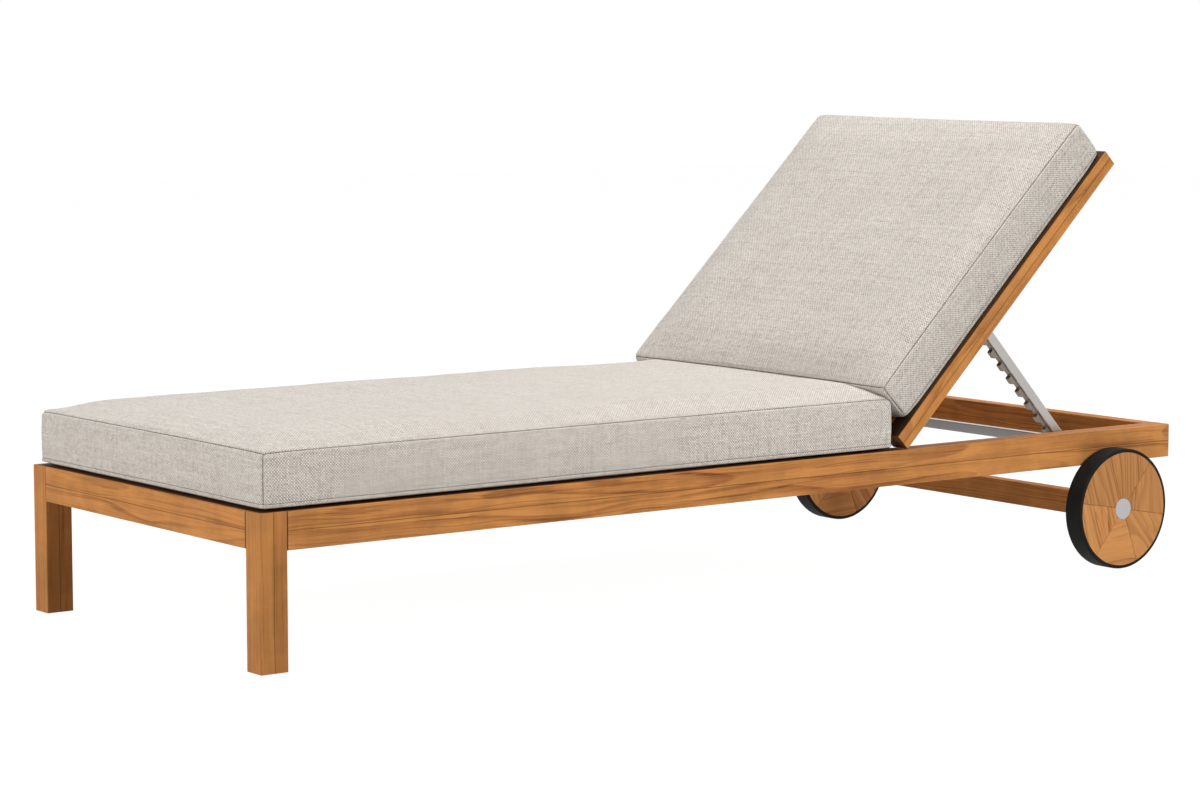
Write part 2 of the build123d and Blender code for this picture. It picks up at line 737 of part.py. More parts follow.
with BuildPart() as arm_plugs:
    for side, sign in sides:
        arm_side = stay_side.offset(sign * arm_centre_x - arm_width / 2)
        with BuildSketch(arm_side.offset(arm_wall)):
            with Locations((arm_length - plug_insert / 2, 0)):
                Rectangle(plug_insert, arm_depth - 2 * arm_wall)
        extrude(amount=arm_width - 2 * arm_wall)
        with BuildSketch(arm_side):
            with Locations((arm_length + plug_head / 2, 0)):
                Rectangle(plug_head, arm_depth)
        extrude(amount=arm_width)
save(arm_plugs.part, "arm_plugs")


# Cushions: box forms with sides drawn in between rounded corners, and a crown on top that falls in a
# shoulder to each side. The seat's crown runs on to the back cushion, which leans on it.
def crown_form(plane, width, length, end_shoulder):
    """The filled top of a cushion, centred across a plane's Y, with its shoulder at the far end given."""
    with BuildPart() as crown:
        for side, low, high, far_shoulder, reach, mode in (
            (Plane(origin=plane.origin, x_dir=plane.x_dir, z_dir=-plane.y_dir),
             -width / 2, width / 2, cushion_shoulder, -length, Mode.ADD),
            (Plane(origin=plane.origin, x_dir=plane.y_dir, z_dir=plane.x_dir).offset(-width / 2),
             0, length, end_shoulder, width, Mode.INTERSECT),
        ):
            with BuildSketch(side):
                with BuildLine():
                    Polyline((low, 0), (low, -cut_overrun), (high, -cut_overrun), (high, 0))
                    if far_shoulder:
                        TangentArc((high - far_shoulder, cushion_crown), (high, 0), tangent=(1, 0))
                    else:
                        Line((high, cushion_crown), (high, 0))
                    Line((high - far_shoulder, cushion_crown), (low + cushion_shoulder, cushion_crown))
                    TangentArc((low + cushion_shoulder, cushion_crown), (low, 0), tangent=(-1, 0))
                make_face()
            extrude(amount=reach, mode=mode)
    return crown.part


def cushion_form(plane, length, thickness, end_shoulder):
    """A box cushion that starts at a plane's origin, runs along its Y and stands on it."""
    half = half_width - cushion_inset
    rim = cushion_draw + cushion_edge + cut_overrun
    with BuildPart() as form:
        with BuildSketch(plane):
            with BuildLine():
                ThreePointArc((-half, 0), (0, cushion_draw), (half, 0))
                ThreePointArc((half, 0), (half - cushion_draw, length / 2), (half, length))
                ThreePointArc((half, length), (0, length - cushion_draw), (-half, length))
                ThreePointArc((-half, length), (-half + cushion_draw, length / 2), (-half, 0))
            make_face()
        extrude(amount=thickness)
        upright = Axis(plane.origin, plane.z_dir)
        fillet(form.edges().filter_by(upright), cushion_corner)
        ends = form.faces().sort_by(upright)
        fillet(ends[0].edges() + ends[-1].edges(), cushion_edge)
        crown_start = Plane(
            origin=plane.from_local_coords(Vector(0, rim, thickness)), x_dir=plane.x_dir, z_dir=plane.z_dir
        )
        add(crown_form(crown_start, 2 * (half - rim), length - 2 * rim, end_shoulder))
    return form.part


back_cushion_base = back_plane.offset(stile_thickness + cushion_clearance)
back_origin = Plane(
    origin=back_cushion_base.from_local_coords(Vector(0, back_cushion_start, 0)),
    x_dir=(1, 0, 0),
    z_dir=back_plane.z_dir,
)
back_cushion = cushion_form(back_origin, back_cushion_length, back_cushion_thickness, cushion_shoulder)
save(back_cushion, "back_cushion")

seat_cushion_end = hinge_y - seat_cushion_gap
seat_cushion_length = seat_cushion_end + half_length - seat_cushion_start
seat_origin = Plane(origin=(0, seat_cushion_end - seat_cushion_length, deck_top + cushion_clearance))
with BuildPart() as seat_cushion:
    add(cushion_form(seat_origin, seat_cushion_length, seat_cushion_thickness, 0))
    # Pressed in where the back cushion's end rests on it.
    with BuildSketch(Plane(origin=back_origin.origin, z_dir=back_origin.y_dir).offset(-cushion_contact_gap)):
        Rectangle(frame_width, frame_width)
    extrude(amount=back_cushion_thickness, mode=Mode.SUBTRACT)
save(seat_cushion.part, "seat_cushion")
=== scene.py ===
"""Finishes, cushions and studio for the wooden sun lounger."""
import json
from math import cos, exp, pi, radians, sin, tanh

import bmesh
import bpy
from bpy.props import FloatProperty, FloatVectorProperty, IntProperty, PointerProperty
from mathutils import Matrix, Vector, noise


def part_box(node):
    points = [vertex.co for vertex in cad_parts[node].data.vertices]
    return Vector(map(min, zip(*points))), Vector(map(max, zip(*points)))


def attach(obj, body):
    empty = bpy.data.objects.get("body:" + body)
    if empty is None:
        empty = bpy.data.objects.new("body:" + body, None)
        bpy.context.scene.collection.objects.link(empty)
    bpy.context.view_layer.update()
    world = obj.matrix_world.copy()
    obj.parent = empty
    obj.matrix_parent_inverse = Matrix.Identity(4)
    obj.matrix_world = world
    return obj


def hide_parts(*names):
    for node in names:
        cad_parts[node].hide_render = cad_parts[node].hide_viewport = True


bl_info = {
    "name": "Sun Lounger",
    "version": (1, 0, 0),
    "blender": (4, 5, 0),
    "location": "View3D > Sidebar > Lounger",
    "description": "Finishes the lounger's timber and metal, sews its cushions and sets up the studio",
    "category": "Object",
}

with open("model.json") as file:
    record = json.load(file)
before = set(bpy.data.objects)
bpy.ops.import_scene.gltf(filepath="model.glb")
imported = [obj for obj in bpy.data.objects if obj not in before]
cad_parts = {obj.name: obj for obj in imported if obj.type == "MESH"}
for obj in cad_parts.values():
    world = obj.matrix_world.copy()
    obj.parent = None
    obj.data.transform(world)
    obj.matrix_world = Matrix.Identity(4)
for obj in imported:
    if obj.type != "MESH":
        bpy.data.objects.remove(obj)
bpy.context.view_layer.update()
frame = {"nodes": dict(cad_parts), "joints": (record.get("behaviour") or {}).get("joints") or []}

# The back's hinge line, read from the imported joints.
joints = {joint["name"]: joint for joint in frame["joints"]}
hinge_line = Vector(joints["back_tilt"]["pos_m"])

# How far the back and the stay lean, and the directions along the back and out of its front.
back_tilt = radians(44.4)
stay_tilt = radians(47.5)
along_back = Vector((0, cos(back_tilt), sin(back_tilt)))
out_of_back = Vector((0, -sin(back_tilt), cos(back_tilt)))

# Where the back cushion starts along the stiles, and how far its seat is out from the hinge line.
back_cushion_start = 0.038
back_cushion_seat = 0.0343


def span(node):
    """Lowest corner, highest corner and centre of a node at rest."""
    low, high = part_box(node)
    return low, high, (low + high) / 2


# Settings


class TimberSettings(bpy.types.PropertyGroup):
    light: FloatVectorProperty(
        name="Early wood", description="Colour of the pale wood between the growth rings",
        subtype="COLOR", size=3, min=0, max=1, default=(0.525, 0.222, 0.060))
    dark: FloatVectorProperty(
        name="Late wood", description="Colour of the growth rings' dark lines",
        subtype="COLOR", size=3, min=0, max=1, default=(0.205, 0.064, 0.013))
    ring_spacing: FloatProperty(
        name="Ring spacing", description="Distance from one growth ring to the next",
        unit="LENGTH", min=0.001, max=0.05, default=0.0060)
    waviness: FloatProperty(
        name="Waviness", description="How far the grain wanders from straight",
        unit="LENGTH", min=0, max=0.05, default=0.016)
    glue_line: FloatProperty(
        name="Glue line", description="Width of the line where two boards are glued",
        unit="LENGTH", min=0, max=0.003, default=0.0009)
    roughness: FloatProperty(
        name="Roughness", description="Roughness of the oiled surface",
        subtype="FACTOR", min=0, max=1, default=0.56)


class ClothSettings(bpy.types.PropertyGroup):
    pale: FloatVectorProperty(
        name="Pale yarn", description="Colour of the lighter yarns",
        subtype="COLOR", size=3, min=0, max=1, default=(0.87, 0.82, 0.75))
    deep: FloatVectorProperty(
        name="Deep yarn", description="Colour of the darker yarns",
        subtype="COLOR", size=3, min=0, max=1, default=(0.235, 0.190, 0.148))
    seam: FloatVectorProperty(
        name="Seam", description="Colour in the shade of a seam",
        subtype="COLOR", size=3, min=0, max=1, default=(0.052, 0.037, 0.027))
    yarn: FloatProperty(
        name="Yarn pitch", description="Distance from one yarn to the next",
        unit="LENGTH", min=0.0005, max=0.01, default=0.0026)


class CushionSettings(bpy.types.PropertyGroup):
    cell: FloatProperty(
        name="Cell", description="Size of the cloth's cells",
        unit="LENGTH", min=0.005, max=0.05, default=0.0150)
    edge: FloatProperty(
        name="Edge radius", description="Radius of the sewn edges",
        unit="LENGTH", min=0.002, max=0.03, default=0.009)
    corner: FloatProperty(
        name="Corner radius", description="Radius that the edges grow to where three of them meet",
        unit="LENGTH", min=0.002, max=0.05, default=0.013)
    base_edge: FloatProperty(
        name="Base edge radius", description="Radius of the edges round the underside",
        unit="LENGTH", min=0.001, max=0.03, default=0.0042)
    crown: FloatProperty(
        name="Crown", description="Height of the filled top above its seams, as cut",
        unit="LENGTH", min=0, max=0.05, default=0.0140)
    seat_crown: FloatProperty(
        name="Seat crown", description="The same on the seat, where the crown is higher",
        unit="LENGTH", min=0, max=0.05, default=0.0165)
    shoulder: FloatProperty(
        name="Shoulder", description="Distance over which the crown falls to the seams",
        unit="LENGTH", min=0.02, max=0.3, default=0.080)
    border_swell: FloatProperty(
        name="Border swell", description="Most that the borders bulge out",
        unit="LENGTH", min=0, max=0.01, default=0.0014)
    seam_depth: FloatProperty(
        name="Seam depth", description="How deep a seam pulls the cloth in",
        unit="LENGTH", min=0, max=0.01, default=0.0022)
    lower_seam: FloatProperty(
        name="Lower seam", description="Height of the lower seam above the base",
        unit="LENGTH", min=0, max=0.05, default=0.0078)
    seam_width: FloatProperty(
        name="Seam width", description="Half width of the dip along a seam",
        unit="LENGTH", min=0.0005, max=0.01, default=0.0026)
    pressure: FloatProperty(
        name="Filling pressure", description="Pressure that swells the cover in the simulation",
        min=0, max=20, default=4)
    swell: FloatProperty(
        name="Swell", description="Most that the top swells out of its cut shape",
        unit="LENGTH", min=0, max=0.03, default=0.0045)
    frames: IntProperty(
        name="Frames", description="Number of frames that the cover is simulated for",
        min=1, max=60, default=20)


class MetalSettings(bpy.types.PropertyGroup):
    steel: FloatVectorProperty(
        name="Steel", description="Colour of the brushed stainless steel",
        subtype="COLOR", size=3, min=0, max=1, default=(0.56, 0.555, 0.545))
    rubber: FloatVectorProperty(
        name="Rubber", description="Colour of the tyres",
        subtype="COLOR", size=3, min=0, max=1, default=(0.006, 0.006, 0.0055))
    nylon: FloatVectorProperty(
        name="Nylon", description="Colour of the bushes, plugs and glides",
        subtype="COLOR", size=3, min=0, max=1, default=(0.02, 0.02, 0.02))


class StageSettings(bpy.types.PropertyGroup):
    eye: FloatVectorProperty(
        name="Camera", description="Place of the camera",
        subtype="TRANSLATION", size=3, default=(4.93588, -3.74693, 1.01998))
    heading: FloatProperty(
        name="Heading", description="Direction that the camera looks in, from +Y towards +X",
        subtype="ANGLE", default=-0.92962)
    pitch: FloatProperty(
        name="Pitch", description="How far the camera looks up", subtype="ANGLE", default=-0.11022)
    lens: FloatProperty(
        name="Lens", description="Focal length on a 36 mm sensor, in millimetres",
        min=10, max=400, default=103.71)
    daylight: FloatProperty(
        name="Daylight", description="Strength of the light from all round",
        min=0, max=3, default=0.17)
    top_light: FloatProperty(
        name="Top light", description="Power of the soft box overhead", unit="POWER", min=0, default=174)
    front_light: FloatProperty(
        name="Front light", description="Power of the soft box at the foot end", unit="POWER", min=0,
        default=117)
    side_light: FloatProperty(
        name="Side light", description="Power of the soft box on the near side", unit="POWER", min=0,
        default=142)
    far_light: FloatProperty(
        name="Far light", description="Power of the soft box on the far side", unit="POWER", min=0,
        default=4)
    head_light: FloatProperty(
        name="Head light", description="Power of the soft box at the head end", unit="POWER", min=0,
        default=8)


# Building blocks for materials

white = (1.0, 1.0, 1.0, 1.0)


def group_shell(name, inputs, outputs):
    """An empty shader node group with its named sockets, and its input and output nodes."""
    tree = bpy.data.node_groups.new(name, "ShaderNodeTree")
    for label, kind, value in inputs:
        socket = tree.interface.new_socket(label, in_out="INPUT", socket_type=kind)
        if value is not None:
            socket.default_value = value
    for label, kind in outputs:
        tree.interface.new_socket(label, in_out="OUTPUT", socket_type=kind)
    return tree, tree.nodes.new("NodeGroupInput"), tree.nodes.new("NodeGroupOutput")


class Board:
    """Adds nodes to one tree and links them, so that a material reads from top to bottom."""

    def __init__(self, tree):
        self.tree = tree

    def link(self, source, target):
        if isinstance(source, bpy.types.NodeSocket):
            self.tree.links.new(source, target)
        elif source is not None:
            target.default_value = source

    def node(self, kind, inputs=(), **settings):
        made = self.tree.nodes.new(kind)
        for key, value in settings.items():
            setattr(made, key, value)
        for key, value in dict(inputs).items():
            self.link(value, made.inputs[key])
        return made

    def math(self, operation, a, b=None, c=None, clamp=False):
        made = self.node("ShaderNodeMath", {0: a}, operation=operation, use_clamp=clamp)
        if b is not None:
            self.link(b, made.inputs[1])
        if c is not None:
            self.link(c, made.inputs[2])
        return made.outputs[0]

    def vector(self, operation, a, b=None):
        made = self.node("ShaderNodeVectorMath", {0: a}, operation=operation)
        if b is not None:
            self.link(b, made.inputs[1])
        return made.outputs["Value" if operation == "LENGTH" else "Vector"]

    def noise(self, vector, scale, detail=2.0, roughness=0.5):
        made = self.node(
            "ShaderNodeTexNoise",
            {"Vector": vector, "Scale": scale, "Detail": detail, "Roughness": roughness})
        return made.outputs["Fac"]

    def between(self, value, low, high, to_low=0.0, to_high=1.0):
        made = self.node(
            "ShaderNodeMapRange",
            {"Value": value, "From Min": low, "From Max": high, "To Min": to_low, "To Max": to_high})
        made.interpolation_type = "SMOOTHSTEP"
        return made.outputs["Result"]

    def mix(self, factor, a, b, blend_type="MIX"):
        made = self.node("ShaderNodeMix", data_type="RGBA", blend_type=blend_type)
        self.link(factor, made.inputs[0])
        self.link(a, made.inputs[6])
        self.link(b, made.inputs[7])
        return made.outputs[2]

    def split(self, vector):
        made = self.node("ShaderNodeSeparateXYZ", {0: vector})
        return made.outputs

    def join(self, x, y, z):
        return self.node("ShaderNodeCombineXYZ", {0: x, 1: y, 2: z}).outputs[0]

    def place(self):
        return self.node("ShaderNodeTexCoord").outputs["Object"]

    def turned(self, vector, angle, axis):
        made = self.node("ShaderNodeVectorRotate", {"Vector": vector, "Angle": angle}, rotation_type=axis)
        return made.outputs[0]

    def plus(self, a, added, share, clamp=False):
        """A value with a share of another added to it."""
        return self.math("ADD", a, self.math("MULTIPLY", added, share), clamp=clamp)

    def swing(self, value):
        """A noise from 0 to 1, moved so that it swings both ways from zero."""
        return self.math("SUBTRACT", value, 0.5)

    def drawn(self, vector, waves, detail=1.0, roughness=0.5):
        """Noise with its own number of waves per metre along each axis."""
        return self.noise(self.vector("MULTIPLY", vector, waves), 1.0, detail, roughness)

    def pick(self, second, a, b):
        """The first value, or the second one where that is chosen."""
        return self.node("ShaderNodeMix", {0: second, 2: a, 3: b}).outputs[0]

    def relief(self, shader, height, strength, distance):
        """Fine relief on a shader, from a height that changes over its surface."""
        bump = self.node("ShaderNodeBump", {"Height": height, "Strength": strength, "Distance": distance})
        self.link(bump.outputs[0], shader.inputs["Normal"])

    def in_view(self):
        """1 where the camera, a reflection or a refraction looks, and 0 for light."""
        rays = self.node("ShaderNodeLightPath").outputs
        direct = self.math("MAXIMUM", rays["Is Camera Ray"], rays["Is Glossy Ray"])
        return self.math("MAXIMUM", direct, rays["Is Transmission Ray"])


def opaque(colour):
    return (*colour, 1.0)


def grain_group():
    """Solid timber: growth rings round a pith beside the board, fibres, pores and a glue line.

    The vector runs along the grain in X, and crosses the glue line in Y."""
    tree, given, result = group_shell(
        "Timber grain",
        (("Vector", "NodeSocketVector", None), ("Light", "NodeSocketColor", (0.5, 0.25, 0.1, 1)),
         ("Dark", "NodeSocketColor", (0.3, 0.12, 0.04, 1)), ("Ring spacing", "NodeSocketFloat", 0.008),
         ("Waviness", "NodeSocketFloat", 0.016), ("Glue line", "NodeSocketFloat", 0.0007),
         ("Board", "NodeSocketFloat", 0.0), ("Low joint", "NodeSocketFloat", -9.0),
         ("High joint", "NodeSocketFloat", 9.0)),
        (("Color", "NodeSocketColor"), ("Gloss", "NodeSocketFloat"), ("Height", "NodeSocketFloat")))
    b = Board(tree)
    value = given.outputs
    x, y, z = b.split(value["Vector"])
    # Each half of a glued board is cut from its own place in the log.
    half = b.math("GREATER_THAN", y, 0.0)
    shift = b.plus(value["Board"], half, 3.7)
    moved_x = b.math("ADD", x, shift)
    moved = b.join(moved_x, b.plus(y, shift, 0.31), z)
    # The grain wanders slowly along the board, and faster across it.
    slow = b.vector("MULTIPLY", moved, (1.6, 7.0, 7.0))
    wander_y = b.swing(b.noise(slow, 1.0, 2.0, 0.45))
    wander_z = b.swing(b.noise(b.vector("ADD", slow, (5.2, 9.1, 3.3)), 1.0, 2.0, 0.45))
    sway = b.swing(b.drawn(moved, (4.2, 13.0, 13.0)))
    ripple = b.swing(b.drawn(moved, (7.0, 30.0, 30.0)))
    reach = b.math("MULTIPLY", value["Waviness"], 2.6)
    pith_y, pith_z = b.plus(0.031, half, -0.052), 0.043
    ring_y = b.plus(b.math("ADD", y, pith_y), wander_y, reach)
    ring_z = b.plus(b.math("ADD", z, pith_z), wander_z, reach)
    ring_y = b.plus(ring_y, ripple, b.math("MULTIPLY", value["Waviness"], 0.22))
    ring_y = b.plus(ring_y, sway, b.math("MULTIPLY", value["Waviness"], 1.1))
    # The rings are unevenly spaced, and each darkens slowly and ends sharply.
    radius = b.vector("LENGTH", b.join(0.0, ring_y, ring_z))
    turns = b.math("DIVIDE", radius, value["Ring spacing"])
    uneven = b.noise(b.join(0.0, b.math("MULTIPLY", turns, 0.9), shift), 1.0, 1.0)
    turns = b.plus(turns, uneven, 1.6)
    ring = b.math("FRACT", turns)
    late = b.math("MULTIPLY", b.between(ring, 0.20, 0.88), b.between(ring, 0.91, 1.0, 1.0, 0.0))
    strength = b.noise(b.join(b.math("MULTIPLY", moved_x, 2.0), b.math("FLOOR", turns), shift), 1.0, 1.0)
    late = b.math("MULTIPLY", late, b.between(strength, 0.32, 0.62, 0.25, 1.0))
    # Fibres and pores are drawn out along the board, and thin veins follow the rings' wander.
    fibre = b.drawn(moved, (9.0, 420.0, 420.0), 3.0, 0.6)
    streak = b.between(b.drawn(moved, (2.2, 55.0, 55.0), 3.0, 0.55), 0.44, 0.64)
    pores = b.between(b.drawn(moved, (55.0, 1500.0, 1500.0)), 0.60, 0.72)
    patch = b.drawn(moved, (1.1, 9.0, 9.0), 2.0)
    bent = b.join(x, ring_y, ring_z)
    vein = b.between(b.drawn(bent, (1.5, 190.0, 190.0), 2.0, 0.55), 0.59, 0.65)
    # How much of the dark colour each of them brings.
    tone = b.math("MULTIPLY", late, 0.44)
    tone = b.plus(tone, streak, 0.17)
    tone = b.plus(tone, vein, 0.26)
    tone = b.plus(tone, b.swing(fibre), 0.60)
    tone = b.plus(tone, b.swing(patch), 0.36)
    tone = b.plus(tone, pores, 0.20, clamp=True)
    timber = b.mix(tone, value["Light"], value["Dark"])
    # The glue line, and the joints with other boards.
    seam = b.between(b.math("DIVIDE", b.math("ABSOLUTE", y), value["Glue line"]), 0.4, 1.0, 0.62, 0.0)
    for joint in ("Low joint", "High joint"):
        apart = b.math("ABSOLUTE", b.math("SUBTRACT", x, value[joint]))
        seam = b.math("MAXIMUM", seam, b.between(apart, 0.0006, 0.0016, 0.9, 0.0))
    b.link(b.mix(seam, timber, joint_colour), result.inputs["Color"])
    b.link(b.plus(b.math("MULTIPLY", fibre, 0.12), late, -0.05), result.inputs["Gloss"])
    height = b.math("SUBTRACT", b.math("MULTIPLY", fibre, 0.5), b.math("MULTIPLY", pores, 0.45))
    height = b.math("SUBTRACT", height, b.math("MULTIPLY", seam, 1.2))
    b.link(height, result.inputs["Height"])
    return tree


def weave_group():
    """Plain weave of slubby, heathered yarns, on a vector in metres across the cloth."""
    tree, given, result = group_shell(
        "Slub weave",
        (("Vector", "NodeSocketVector", None), ("Pale", "NodeSocketColor", (0.6, 0.55, 0.5, 1)),
         ("Deep", "NodeSocketColor", (0.3, 0.27, 0.23, 1)), ("Yarn", "NodeSocketFloat", 0.002)),
        (("Color", "NodeSocketColor"), ("Height", "NodeSocketFloat")))
    b = Board(tree)
    value = given.outputs
    u, v = b.split(value["Vector"])[:2]
    # A slow drift bends the yarns a little.
    drift = b.swing(b.noise(value["Vector"], 22.0, 2.0))
    u = b.plus(u, drift, 0.0016)
    v = b.plus(v, drift, 0.0016)
    warp = b.math("DIVIDE", u, value["Yarn"])
    weft = b.math("DIVIDE", v, value["Yarn"])
    warp_round = b.math("ABSOLUTE", b.math("SINE", b.math("MULTIPLY", warp, pi)))
    weft_round = b.math("ABSOLUTE", b.math("SINE", b.math("MULTIPLY", weft, pi)))
    over = b.math("MODULO", b.math("ADD", b.math("FLOOR", warp), b.math("FLOOR", weft)), 2.0)
    over = b.math("GREATER_THAN", b.math("ABSOLUTE", over), 0.5)
    # Each yarn has its own tone, which changes along it in short flecks and in long slubs.
    yarn_step, flecks, slubs = 1.37, 130.0, 9.0
    warp_place = b.math("MULTIPLY", b.math("FLOOR", warp), yarn_step)
    weft_place = b.math("MULTIPLY", b.math("FLOOR", weft), yarn_step)
    warp_tone = b.noise(b.join(warp_place, b.math("MULTIPLY", v, flecks), 2.3), 1.0, 2.0, 0.6)
    weft_tone = b.noise(b.join(b.math("MULTIPLY", u, flecks), weft_place, 7.6), 1.0, 2.0, 0.6)
    warp_slub = b.noise(b.join(warp_place, b.math("MULTIPLY", v, slubs), 4.1), 1.0, 1.0)
    weft_slub = b.noise(b.join(b.math("MULTIPLY", u, slubs), weft_place, 9.4), 1.0, 1.0)
    yarn_tone = b.pick(over, warp_tone, weft_tone)
    yarn_slub = b.pick(over, warp_slub, weft_slub)
    warp_high = b.math("MULTIPLY", warp_round, b.math("POWER", weft_round, 0.5))
    weft_high = b.math("MULTIPLY", weft_round, b.math("POWER", warp_round, 0.5))
    height = b.pick(over, warp_high, weft_high)
    cloud = b.noise(value["Vector"], 34.0, 3.0, 0.6)
    # How much of the deep colour each of them brings, the weft's own among them.
    shade = b.math("MULTIPLY", b.between(yarn_tone, 0.42, 0.62), 0.26)
    shade = b.plus(shade, b.between(height, 0.15, 0.75, 1.0, 0.0), 0.26)
    shade = b.plus(shade, over, 0.48)
    shade = b.plus(shade, b.swing(yarn_slub), 0.62)
    shade = b.plus(shade, b.swing(cloud), 0.06)
    shade = b.math("SUBTRACT", shade, 0.055, clamp=True)
    b.link(b.mix(shade, value["Pale"], value["Deep"]), result.inputs["Color"])
    b.link(height, result.inputs["Height"])
    return tree


def wear_group():
    """Lightening along edges and a soft unevenness of the gloss."""
    tree, given, result = group_shell(
        "Handling wear",
        (("Color", "NodeSocketColor", (0.5, 0.5, 0.5, 1)), ("Amount", "NodeSocketFloat", 0.2),
         ("Vector", "NodeSocketVector", None)),
        (("Color", "NodeSocketColor"), ("Gloss", "NodeSocketFloat")))
    b = Board(tree)
    value = given.outputs
    point = b.node("ShaderNodeNewGeometry").outputs["Pointiness"]
    edge = b.between(point, 0.505, 0.56)
    smudge = b.noise(value["Vector"], 18.0, 3.0, 0.55)
    worn = b.math("MULTIPLY", b.math("MULTIPLY", edge, value["Amount"]), b.between(smudge, 0.3, 0.7))
    b.link(b.mix(worn, value["Color"], white, "OVERLAY"), result.inputs["Color"])
    b.link(b.math("MULTIPLY", b.swing(smudge), 0.12), result.inputs["Gloss"])
    return tree


def shared(name, builder):
    """A shader node group, built on its first use."""
    return bpy.data.node_groups.get(name) or builder()


def plain_material(name):
    """A material with an empty tree, its Principled shader and its output."""
    material = bpy.data.materials.new(name)
    material.use_nodes = True
    material.node_tree.nodes.clear()
    b = Board(material.node_tree)
    shader = b.node("ShaderNodeBsdfPrincipled")
    output = b.node("ShaderNodeOutputMaterial")
    b.link(shader.outputs[0], output.inputs["Surface"])
    return material, b, shader


def dress(name, material):
    """Gives a carried-over node its material."""
    mesh = frame["nodes"][name].data
    mesh.materials.clear()
    mesh.materials.append(material)


# Timber

# Colours at a joint, of the painted shade under the cushions, and of the painted shade in the corner behind
# the seat cushion.
joint_colour = (0.045, 0.014, 0.004, 1.0)
painted_shadow_colour = (0.012, 0.005, 0.002, 1.0)
painted_corner_shade_colour = (0.030, 0.012, 0.004, 1.0)

# How far below a board's top its painted shade begins, and where it is full.
painted_shade_depth = (0.0006, 0.0001)

# How far past the seat cushion's side, foot end and head end the painted shade on the boards is full, and
# where it ends.
shade_past_side = (0.0006, 0.0041)
shade_past_foot = (0.0022, 0.0052)
shade_past_head = (0.0152, 0.0472)

# How far up the stiles the corner's painted shade is full, and where it ends.
corner_reach = (0.020, 0.085)

# The grain of the next board lies this far on, and a board without a glue line this far beside it.
board_step = 1.37
beside_glue = (0.0, 0.2, 0.0)
no_joint = (-9.0, 9.0)


def board_vector(b, centre, along, across, tilt=0.0):
    """Object coordinates of a board, with the grain in X and the direction across its glue line in Y."""
    moved = b.vector("SUBTRACT", b.place(), tuple(centre))
    if tilt:
        moved = b.turned(moved, -tilt, "X_AXIS")
    sockets = b.split(moved)
    third = 3 - along - across
    return b.join(sockets[along], sockets[across], sockets[third])


def grain_node(b, settings, **values):
    """The timber's grain, with its spacing, waviness and glue line from the settings."""
    grain = b.node("ShaderNodeGroup", node_tree=shared("Timber grain", grain_group))
    for key in ("ring_spacing", "waviness", "glue_line"):
        values.setdefault(key, getattr(settings, key))
    for key, value in values.items():
        b.link(value, grain.inputs[key.replace("_", " ").capitalize()])
    return grain


def oiled(b, shader, grain, rough):
    """The sheen and the fine relief of oiled timber."""
    b.link(rough, shader.inputs["Roughness"])
    b.relief(shader, grain.outputs["Height"], 0.35, 0.0004)
    shader.inputs["Specular IOR Level"].default_value = 0.16


def shade_under_cushion(b, colour, top):
    """Paints shade on a board's top where it lies under the seat cushion."""
    low, high = span("seat_cushion")[:2]
    x, y, z = b.split(b.place())
    side = b.math("ABSOLUTE", x)
    painted_shadow_mask = b.between(z, top - painted_shade_depth[0], top - painted_shade_depth[1])
    for shade in (
        b.between(side, high.x + shade_past_side[0], high.x + shade_past_side[1], 0.86, 0.0),
        b.between(y, low.y - shade_past_foot[1], low.y - shade_past_foot[0]),
        b.between(y, high.y + shade_past_head[0], high.y + shade_past_head[1], 1.0, 0.0),
    ):
        painted_shadow_mask = b.math("MULTIPLY", painted_shadow_mask, shade)
    return b.mix(painted_shadow_mask, colour, painted_shadow_colour)


def shade_in_corner(b, colour, vector, low_end, outer, top):
    """Paints shade on a stile near its low end and under the back cushion, but not on its outer face."""
    x, y, z = b.split(vector)
    inside = b.between(b.math("MULTIPLY", z, outer), 0.97, 0.99, 1.0, 0.0)
    near = b.between(x, low_end + corner_reach[0], low_end + corner_reach[1], 0.72, 0.0)
    colour = b.mix(b.math("MULTIPLY", inside, near), colour, painted_corner_shade_colour)
    upper = b.between(y, top - painted_shade_depth[0], top - painted_shade_depth[1], 0.0, 0.9)
    return b.mix(b.math("MULTIPLY", inside, upper), colour, painted_shadow_colour)


def timber_material(settings, name, centre, along, across, tilt=0.0, glued=True, number=0, tone=1.0,
                    joined=no_joint, painted_shade_top=None, corner_shade=None, contrast=1.0):
    """Oiled hardwood for one board or one set of boards.

    Joined gives the ends where it meets other boards, and the argument after it the height of a top that
    lies under the seat cushion and gets painted shade there. The one after that gives a stile's low end,
    its outer face as one over that face's distance from the middle, and its top, for painted shade in its
    corner."""
    material, b, shader = plain_material("timber_" + name)
    vector = board_vector(b, centre, along, across, tilt)
    if not glued:
        vector = b.vector("ADD", vector, beside_glue)
    light = Vector(settings.light)
    dark = light.lerp(Vector(settings.dark), contrast)
    grain = grain_node(
        b, settings, vector=vector, light=opaque(channel * tone for channel in light),
        dark=opaque(channel * tone for channel in dark), board=number * board_step,
        low_joint=joined[0] - centre[along], high_joint=joined[1] - centre[along])
    colour = grain.outputs["Color"]
    if painted_shade_top:
        colour = shade_under_cushion(b, colour, painted_shade_top)
    if corner_shade:
        colour = shade_in_corner(b, colour, vector, *corner_shade)
    wear = b.node("ShaderNodeGroup", {"Color": colour, "Amount": 0.25, "Vector": vector},
                  node_tree=shared("Handling wear", wear_group))
    b.link(wear.outputs["Color"], shader.inputs["Base Color"])
    rough = b.math("ADD", b.math("ADD", grain.outputs["Gloss"], wear.outputs["Gloss"]), settings.roughness)
    oiled(b, shader, grain, rough)
    return material


